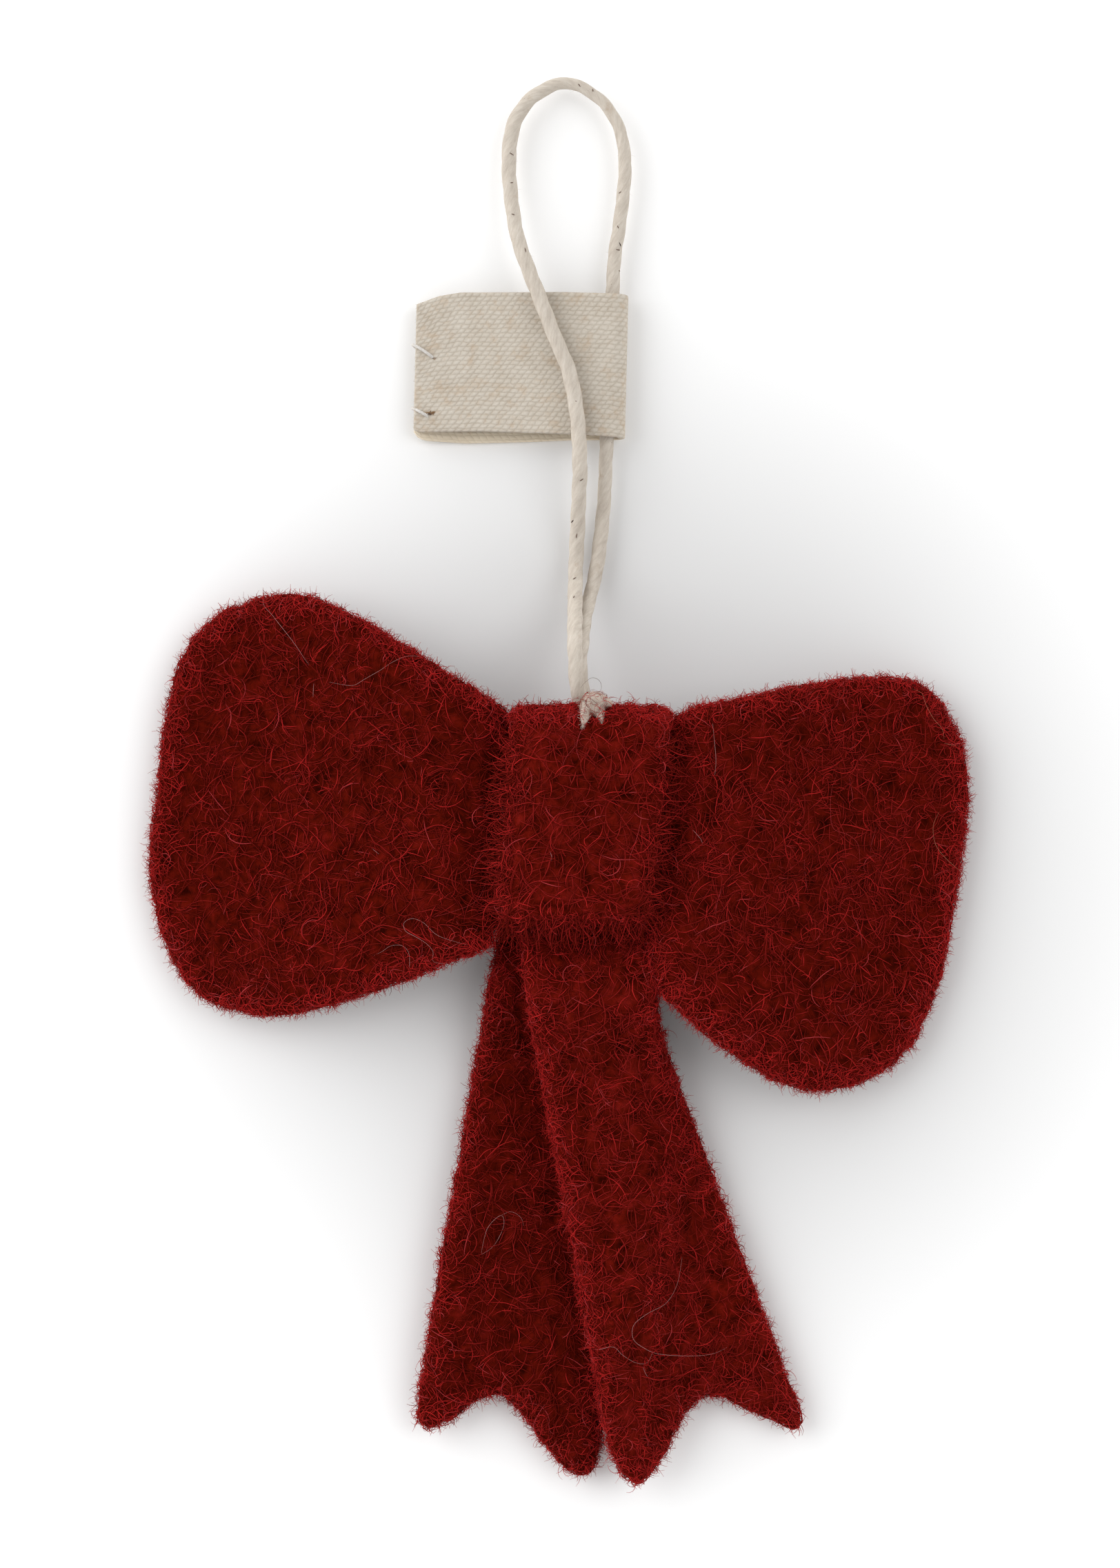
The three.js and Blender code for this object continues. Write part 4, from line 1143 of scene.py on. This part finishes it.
def growStringHairs(hairs, fleck):
    rng = np.random.default_rng(hairs["seed"])
    surface = surfaceOf(stringPiece)
    outside = (surface["triangles"][:, :, 1].mean(axis=1) > hairs["outsideBand"]).astype(float)
    fibres = []
    starts, normals = scatter(surface, hairs["count"], outside, rng)
    for start, normal in zip(starts, normals):
        fibres.append((*looseHair(start, normal, hairs, rng), shadeIndex["hairCotton"]))
    for shade, places in stringFlecks.items():
        for x, y in places:
            seen = photoPoint(x, y, fleck["seenAt"]) * mm
            hit, normal, _, _ = castDown(surface["tree"], seen.x, seen.y)
            if hit is None:
                beside = Vector((seen.x, seen.y, fleck["besideHeight"]))
                hit, normal, _, _ = surface["tree"].find_nearest(beside)
            ahead = normal.orthogonal().normalized()
            ahead.rotate(Matrix.Rotation(rng.uniform(0, math.pi), 3, normal))
            reach = rng.uniform(*fleck["reach"])
            points = [hit + normal * fleck["proud"] + ahead * reach * share for share in (-1, 0, 1)]
            fibres.append((points, fleck["widths"], shadeIndex[shade]))
    made = fibresMesh("stringHairs", fibres)
    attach(made, "loop")
    return made


stringHairPiece = growStringHairs(stringHairs, fleckForm)

# Label: bare cotton tape folded round the right strand, its ends sewn at the left
labelTape = {
    "width": 15, "thickness": 0.6, "foldX": 5.4, "foldRise": 2.77, "lowMiddle": 0.3, "leftX": -14.95,
    "upwards": 0.16, "skew": 0.024, "skewMiddle": 69.65, "sag": 0.05, "sagSize": (5, 4),
    "rounded": 0.00014, "roundedOver": 50,
    # edges of the two layers as (x, y) in mm, seen from the front
    "frontTop": [(-14.95, 76.2), (-12.6, 77.05), (-10.4, 77.4), (0, 77.35), (7.2, 77.1)],
    "frontBottom": [(-14.95, 63.1), (-14.4, 62.9), (-8, 62.95), (-2.7, 62.75), (3, 62.5), (7.0, 62.2)],
    "backTop": [(-14.75, 76.2), (0, 76.8), (7.2, 77.1)],
    "backBottom": [(-14.95, 62.95), (-14.75, 62.6), (-14.3, 62.3), (-13.6, 62.1), (-9.5, 61.85), (-3, 62.0),
                   (1.5, 62.2), (7.0, 62.2)],
    "backHeights": [(-14.75, 0.78), (-10.7, 0.32), (7, 0.3)],
    "frontHeights": [(-14.75, 1.66), (-10, 1.95), (-3, 2.45), (3.8, 3.05), (7, 3.07)],
    "rows": 40, "columns": 110,
}
# the weave in mm along and across the tape, its noises as scale, detail and roughness
tapeWeave = {
    "driftNoise": (900, 2), "drift": 0.36, "rowPitch": 0.49, "lumpPitch": 0.76, "slant": 0.4, "stagger": 0.5,
    "plump": 0.6, "fibreNoise": (5200, 3, 0.7), "patchNoise": (420, 4, 0.7), "tanNoise": (700, 3, 0.7),
    "fibreTone": 0.42, "patchTone": 0.62, "lumpTone": 0.34, "ramp": {"gap": 0.38, "lump": 0.66, "top": 0.95},
    "tanRamp": (0.52, 0.7, 0, 0.5), "length": 44.7, "underRamp": (0.46, 0.52, 0.6, 0),
    "edgeScale": 0.1, "edgeRamp": (0.09, 0.16, 1, 0), "fibreHeight": 0.3,
    "bump": 0.0001, "bumpStrength": 0.48,
    "gap": (0.4, 0.34, 0.27), "lump": (0.515, 0.46, 0.388), "top": (0.6, 0.55, 0.48),
    # the last colour is painted light for the back layer's strip in the front layer's shadow
    "tan": (0.47, 0.35, 0.24), "under": (0.86, 0.74, 0.56),
}


def tapeMaterial(weave):
    # plain cotton tape: staggered rows of slanting lumps
    material, tree, shader = newMaterial("cottonTape", weave["lump"], **cottonFinish)
    place = tree.nodes.new("ShaderNodeTexCoord").outputs["Object"]
    alongTape, acrossTape = attributeNode(tree, "alongTape"), attributeNode(tree, "acrossTape")
    drift = noiseNode(tree, place, *weave["driftNoise"]).outputs["Fac"]
    along = mathNode(tree, "MULTIPLY_ADD", drift, weave["drift"], alongTape)
    across = mathNode(tree, "MULTIPLY_ADD", drift, weave["drift"], acrossTape)
    rows = mathNode(tree, "DIVIDE", across, weave["rowPitch"])
    row, upRow = mathNode(tree, "FLOOR", rows), mathNode(tree, "FRACT", rows)
    slanted = mathNode(tree, "MULTIPLY", upRow, weave["slant"])
    lean = mathNode(tree, "MULTIPLY_ADD", row, weave["stagger"], slanted)
    lumps = mathNode(tree, "ADD", mathNode(tree, "DIVIDE", along, weave["lumpPitch"]), lean)
    shares = (upRow, mathNode(tree, "FRACT", lumps))
    bulges = [mathNode(tree, "SINE", mathNode(tree, "MULTIPLY", share, math.pi)) for share in shares]
    lump = mathNode(tree, "POWER", mathNode(tree, "MULTIPLY", *bulges), weave["plump"])
    fibre, patches, tans = (noiseNode(tree, place, *weave[name]).outputs["Fac"]
                            for name in ("fibreNoise", "patchNoise", "tanNoise"))
    lumpTone = mathNode(tree, "MULTIPLY", lump, weave["lumpTone"])
    patchTone = mathNode(tree, "MULTIPLY_ADD", patches, weave["patchTone"], lumpTone)
    tone = mathNode(tree, "MULTIPLY_ADD", fibre, weave["fibreTone"], patchTone)
    colour = colourRamp(tree, tone, [(stop, weave[shade]) for shade, stop in weave["ramp"].items()])
    tanned = mixColour(tree, greyRamp(tree, tans, *weave["tanRamp"]), colour, weave["tan"])
    # painted light: the back layer's strip along its lower edge, in the front layer's shadow, is painted
    # brighter and creamier than the tape
    back = greyRamp(tree, mathNode(tree, "MULTIPLY", alongTape, 1 / weave["length"]), *weave["underRamp"])
    lowEdge = greyRamp(tree, mathNode(tree, "MULTIPLY", acrossTape, weave["edgeScale"]), *weave["edgeRamp"])
    litStrip = mixColour(tree, mathNode(tree, "MULTIPLY", back, lowEdge), tanned, weave["under"])
    tree.links.new(litStrip, shader.inputs["Base Color"])
    height = mathNode(tree, "MULTIPLY_ADD", fibre, weave["fibreHeight"], lump)
    addBump(tree, shader, height, weave["bump"], weave["bumpStrength"])
    return material


def skewAt(y):
    return labelTape["skew"] * (y - labelTape["skewMiddle"])


def makeLabel(label, weave):
    straight = label["foldX"] - label["leftX"]
    turn = math.pi * label["foldRise"] / 2
    length = 2 * straight + turn

    def lookUp(name, x):
        return float(np.interp(x, *zip(*label[name])))

    def placeAt(passed, share):
        if passed < straight:
            x = label["leftX"] + passed
            layer, height = "back", lookUp("backHeights", x)
        elif passed > straight + turn:
            x = label["foldX"] - (passed - straight - turn)
            layer, height = "front", lookUp("frontHeights", x)
        else:
            angle = (passed - straight) / turn * math.pi
            x = label["foldX"] + math.sin(angle) * label["foldRise"] / 2
            layer = "back" if angle < math.pi / 2 else "front"
            height = label["lowMiddle"] + (1 - math.cos(angle)) * label["foldRise"] / 2
        low, high = lookUp(layer + "Bottom", x), lookUp(layer + "Top", x)
        y = low + (high - low) * share
        if layer == "front":
            sagX, sagY = label["sagSize"]
            height += label["sag"] * noise.noise(Vector((x / sagX, y / sagY, 3)))
        return Vector((x + skewAt(y), y + label["upwards"], height)) * mm

    bm = bmesh.new()
    alongTape, acrossTape = (bm.verts.layers.float.new(name) for name in ("alongTape", "acrossTape"))
    bmesh.ops.create_grid(bm, x_segments=label["columns"], y_segments=label["rows"], size=1)
    for vert in bm.verts:
        passed, share = (vert.co.x + 1) / 2 * length, (vert.co.y + 1) / 2
        vert[alongTape], vert[acrossTape] = passed, share * label["width"]
        vert.co = placeAt(passed, share)
    tape = addPiece("labelTape", finishMesh(bm, bpy.data.meshes.new("labelTape")))
    wall = tape.modifiers.new("wall", "SOLIDIFY")
    wall.thickness, wall.offset, wall.use_even_offset = label["thickness"] * mm, 0, True
    rounded = tape.modifiers.new("rounded", "BEVEL")
    rounded.width, rounded.segments = label["rounded"], 2
    rounded.limit_method, rounded.angle_limit = "ANGLE", math.radians(label["roundedOver"])
    applyModifiers(tape)
    tape.data.shade_smooth()
    tape.data.materials.clear()
    tape.data.materials.append(tapeMaterial(weave))
    lowest = min(vert.co.z for vert in tape.data.vertices)
    if lowest < 0:
        tape.data.transform(Matrix.Translation((0, 0, -lowest)))
    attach(tape, "label")
    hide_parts("label_tape")
    return tape


labelPiece = makeLabel(labelTape, tapeWeave)

labelStitches = {
    "diameter": 0.00034, "step": 0.00006, "lobes": 3, "lobeDepth": 0.22, "turnLength": 0.0011, "sides": 12,
    # each goes from its hole in the front, over the tape's end, to its hole in the back, in mm
    "labelStitchUpper": {"node": "label_stitch_upper", "line": [
        (-12.9, 70.7, 1.2), (-13.15, 70.85, 2.05), (-13.7, 71.25, 2.26), (-14.6, 71.85, 2.1),
        (-15.2, 72.2, 1.3), (-14.8, 71.95, 0.5), (-14.0, 71.4, 0.24), (-13.3, 70.9, 0.3)]},
    "labelStitchLower": {"node": "label_stitch_lower", "line": [
        (-13.5, 64.6, 1.2), (-13.7, 64.7, 2.03), (-14.1, 64.95, 2.2), (-14.7, 65.3, 2.03),
        (-15.25, 65.6, 1.3), (-14.9, 65.45, 0.5), (-14.2, 65.0, 0.24), (-13.7, 64.7, 0.3)]},
}


def makeStitch(name, form):
    line = splineThrough([Vector(place) * mm for place in form[name]["line"]], form["step"])
    mesh = makeCord(name, line, form["diameter"] / 2, form["lobes"], form["lobeDepth"], form["turnLength"],
                    sides=form["sides"])
    piece = addPiece(name, mesh, [whiteThread])
    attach(piece, "label")
    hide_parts(form[name]["node"])
    return piece


stitchPieces = [makeStitch(name, labelStitches) for name in ("labelStitchUpper", "labelStitchLower")]

# brown specks at the stitches' holes as (x, y, how many), and loose threads along the tape's cut ends, in mm
labelSpecks = {
    "seed": 71, "places": [(-13.0, 70.7, 5), (-13.15, 65.0, 26)], "aside": 0.2, "up": 0.1, "height": 2.09,
    "ahead": (0.2, 0.08, 0.01), "widths": [0.00006, 0.00013, 0.00005],
    "shades": ["hairBrown", "hairTan", "hairTan"],
    "threads": 130, "threadsX": -14.7, "threadsFrom": 63.2, "threadsUp": 13.2, "threadsHeights": [0.8, 1.66],
    "heightSpread": 0.12, "outwards": (0.1, 0.45), "threadsTurn": (0.12, 0.08),
    "threadWidths": [0.00004, 0.00003, 0.00002],
}


def growLabelFlecks(specks):
    rng = np.random.default_rng(specks["seed"])
    aheadX, aheadY, aheadZ = specks["ahead"]
    fibres = []
    for x, y, count in specks["places"]:
        for _ in range(count):
            aside, up = rng.normal(0, specks["aside"]), rng.normal(0, specks["up"])
            start = Vector((x + aside, y + up, specks["height"])) * mm
            ahead = Vector((rng.normal(0, aheadX), rng.normal(0, aheadY), aheadZ)) * mm
            shade = shadeIndex[rng.choice(specks["shades"])]
            fibres.append(([start - ahead, start, start + ahead], specks["widths"], shade))
    cotton = shadeIndex["hairCotton"]
    for _ in range(specks["threads"]):
        y = specks["threadsFrom"] + specks["threadsUp"] * rng.random()
        height = rng.choice(specks["threadsHeights"]) + rng.normal(0, specks["heightSpread"])
        start = Vector((specks["threadsX"] + skewAt(y), y, height)) * mm
        outwards = -rng.uniform(*specks["outwards"])
        ahead = Vector((outwards, *(rng.normal(0, spread) for spread in specks["threadsTurn"]))) * mm
        fibres.append(([start, start + ahead * 0.5, start + ahead], specks["threadWidths"], cotton))
    made = fibresMesh("labelFlecks", fibres)
    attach(made, "label")
    return made


labelFlecks = growLabelFlecks(labelSpecks)
print("label made")

# Back stitches keep their solids and get the red thread
for node in ("band_seam_thread", "tail_tack_thread"):
    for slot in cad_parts[node].material_slots:
        slot.material = redThread


# Floor, light and surroundings
studio = {
    "floorSize": 3.0, "floorDrop": 0.00002, "floorColour": (0.8, 0.8, 0.8),
    "bounce": 0.95, "skyLow": 1.8, "skyHigh": 0.24,
    # a large soft light from the left, and a fill from the upper right
    "keySize": 2.2, "keyWatts": 25.0, "keyPlace": (-1.6, 0.7, 1.1),
    "fillSize": 1.4, "fillWatts": 8.0, "fillPlace": (1.2, 0.5, 1.6),
    # a painted shadow: the pale floor is a little greyer under and around the bow; the ramp runs to twice the
    # reach
    "paintedShadowDepth": 0.28, "shadowMiddle": (0.012, 0.018), "shadowReach": (0.054, 0.056), "rampScale": 0.5,
    "greyRamp": (0.2, 0.64),
}


def fromMiddle(tree, socket, axis):
    aside = mathNode(tree, "SUBTRACT", socket, studio["shadowMiddle"][axis])
    return mathNode(tree, "DIVIDE", aside, studio["shadowReach"][axis])


def makeFloor():
    bm = bmesh.new()
    bmesh.ops.create_grid(bm, x_segments=2, y_segments=2, size=studio["floorSize"] / 2)
    mesh = bpy.data.meshes.new("floor")
    bm.to_mesh(mesh)
    bm.free()
    material, tree, shader = newMaterial("paleFloor", studio["floorColour"], 1.0, 0.0)
    path = tree.nodes.new("ShaderNodeLightPath")
    through = mathNode(tree, "MAXIMUM", path.outputs["Is Glossy Ray"], path.outputs["Is Transmission Ray"])
    seen = mathNode(tree, "MAXIMUM", path.outputs["Is Camera Ray"], through)
    place = addNode(tree, "ShaderNodeSeparateXYZ")
    tree.links.new(tree.nodes.new("ShaderNodeTexCoord").outputs["Object"], place.inputs[0])
    across, up = (fromMiddle(tree, place.outputs[axis], axis) for axis in (0, 1))
    square = mathNode(tree, "MULTIPLY_ADD", across, across, mathNode(tree, "MULTIPLY", up, up))
    away = mathNode(tree, "SQRT", square)
    scaled = mathNode(tree, "MULTIPLY", away, studio["rampScale"])
    # painted shadow: the camera sees the floor greyer near the bow
    near = greyRamp(tree, scaled, *studio["greyRamp"], 1 - studio["paintedShadowDepth"], 1)
    near.node.color_ramp.interpolation = "EASE"
    tree.links.new(mixColour(tree, seen, (studio["bounce"],) * 3, near), shader.inputs["Base Color"])
    floor = addPiece("floor", mesh, [material])
    floor.location.z = -studio["floorDrop"]


def makeLight():
    world = bpy.data.worlds.new("sky")
    scene.world = world
    world.use_nodes = True
    tree = world.node_tree
    up = tree.nodes.new("ShaderNodeSeparateXYZ")
    tree.links.new(tree.nodes.new("ShaderNodeTexCoord").outputs["Generated"], up.inputs[0])
    rise = mathNode(tree, "MAXIMUM", up.outputs["Z"], 0)
    strength = mathNode(tree, "MULTIPLY_ADD", rise, studio["skyHigh"] - studio["skyLow"], studio["skyLow"])
    tree.links.new(strength, tree.nodes["Background"].inputs["Strength"])
    tree.nodes["Background"].inputs["Color"].default_value = (1, 1, 1, 1)
    for name in ("key", "fill"):
        lamp = bpy.data.lights.new(name, "AREA")
        lamp.shape, lamp.size, lamp.energy = "DISK", studio[name + "Size"], studio[name + "Watts"]
        holder = bpy.data.objects.new(name, lamp)
        holder.location = studio[name + "Place"]
        holder.rotation_euler = (-Vector(studio[name + "Place"])).to_track_quat("-Z", "Y").to_euler()
        scene.collection.objects.link(holder)


makeFloor()
makeLight()
scene.view_settings.view_transform = "Standard"
print("floor and light made")

bpy.data.objects.remove(fibreProfile)
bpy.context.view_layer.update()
meshes = [piece.data for piece in scene.objects if piece.type == "MESH" and not piece.hide_render]
print("triangles in all", sum(len(face.vertices) - 2 for mesh in meshes for face in mesh.polygons))
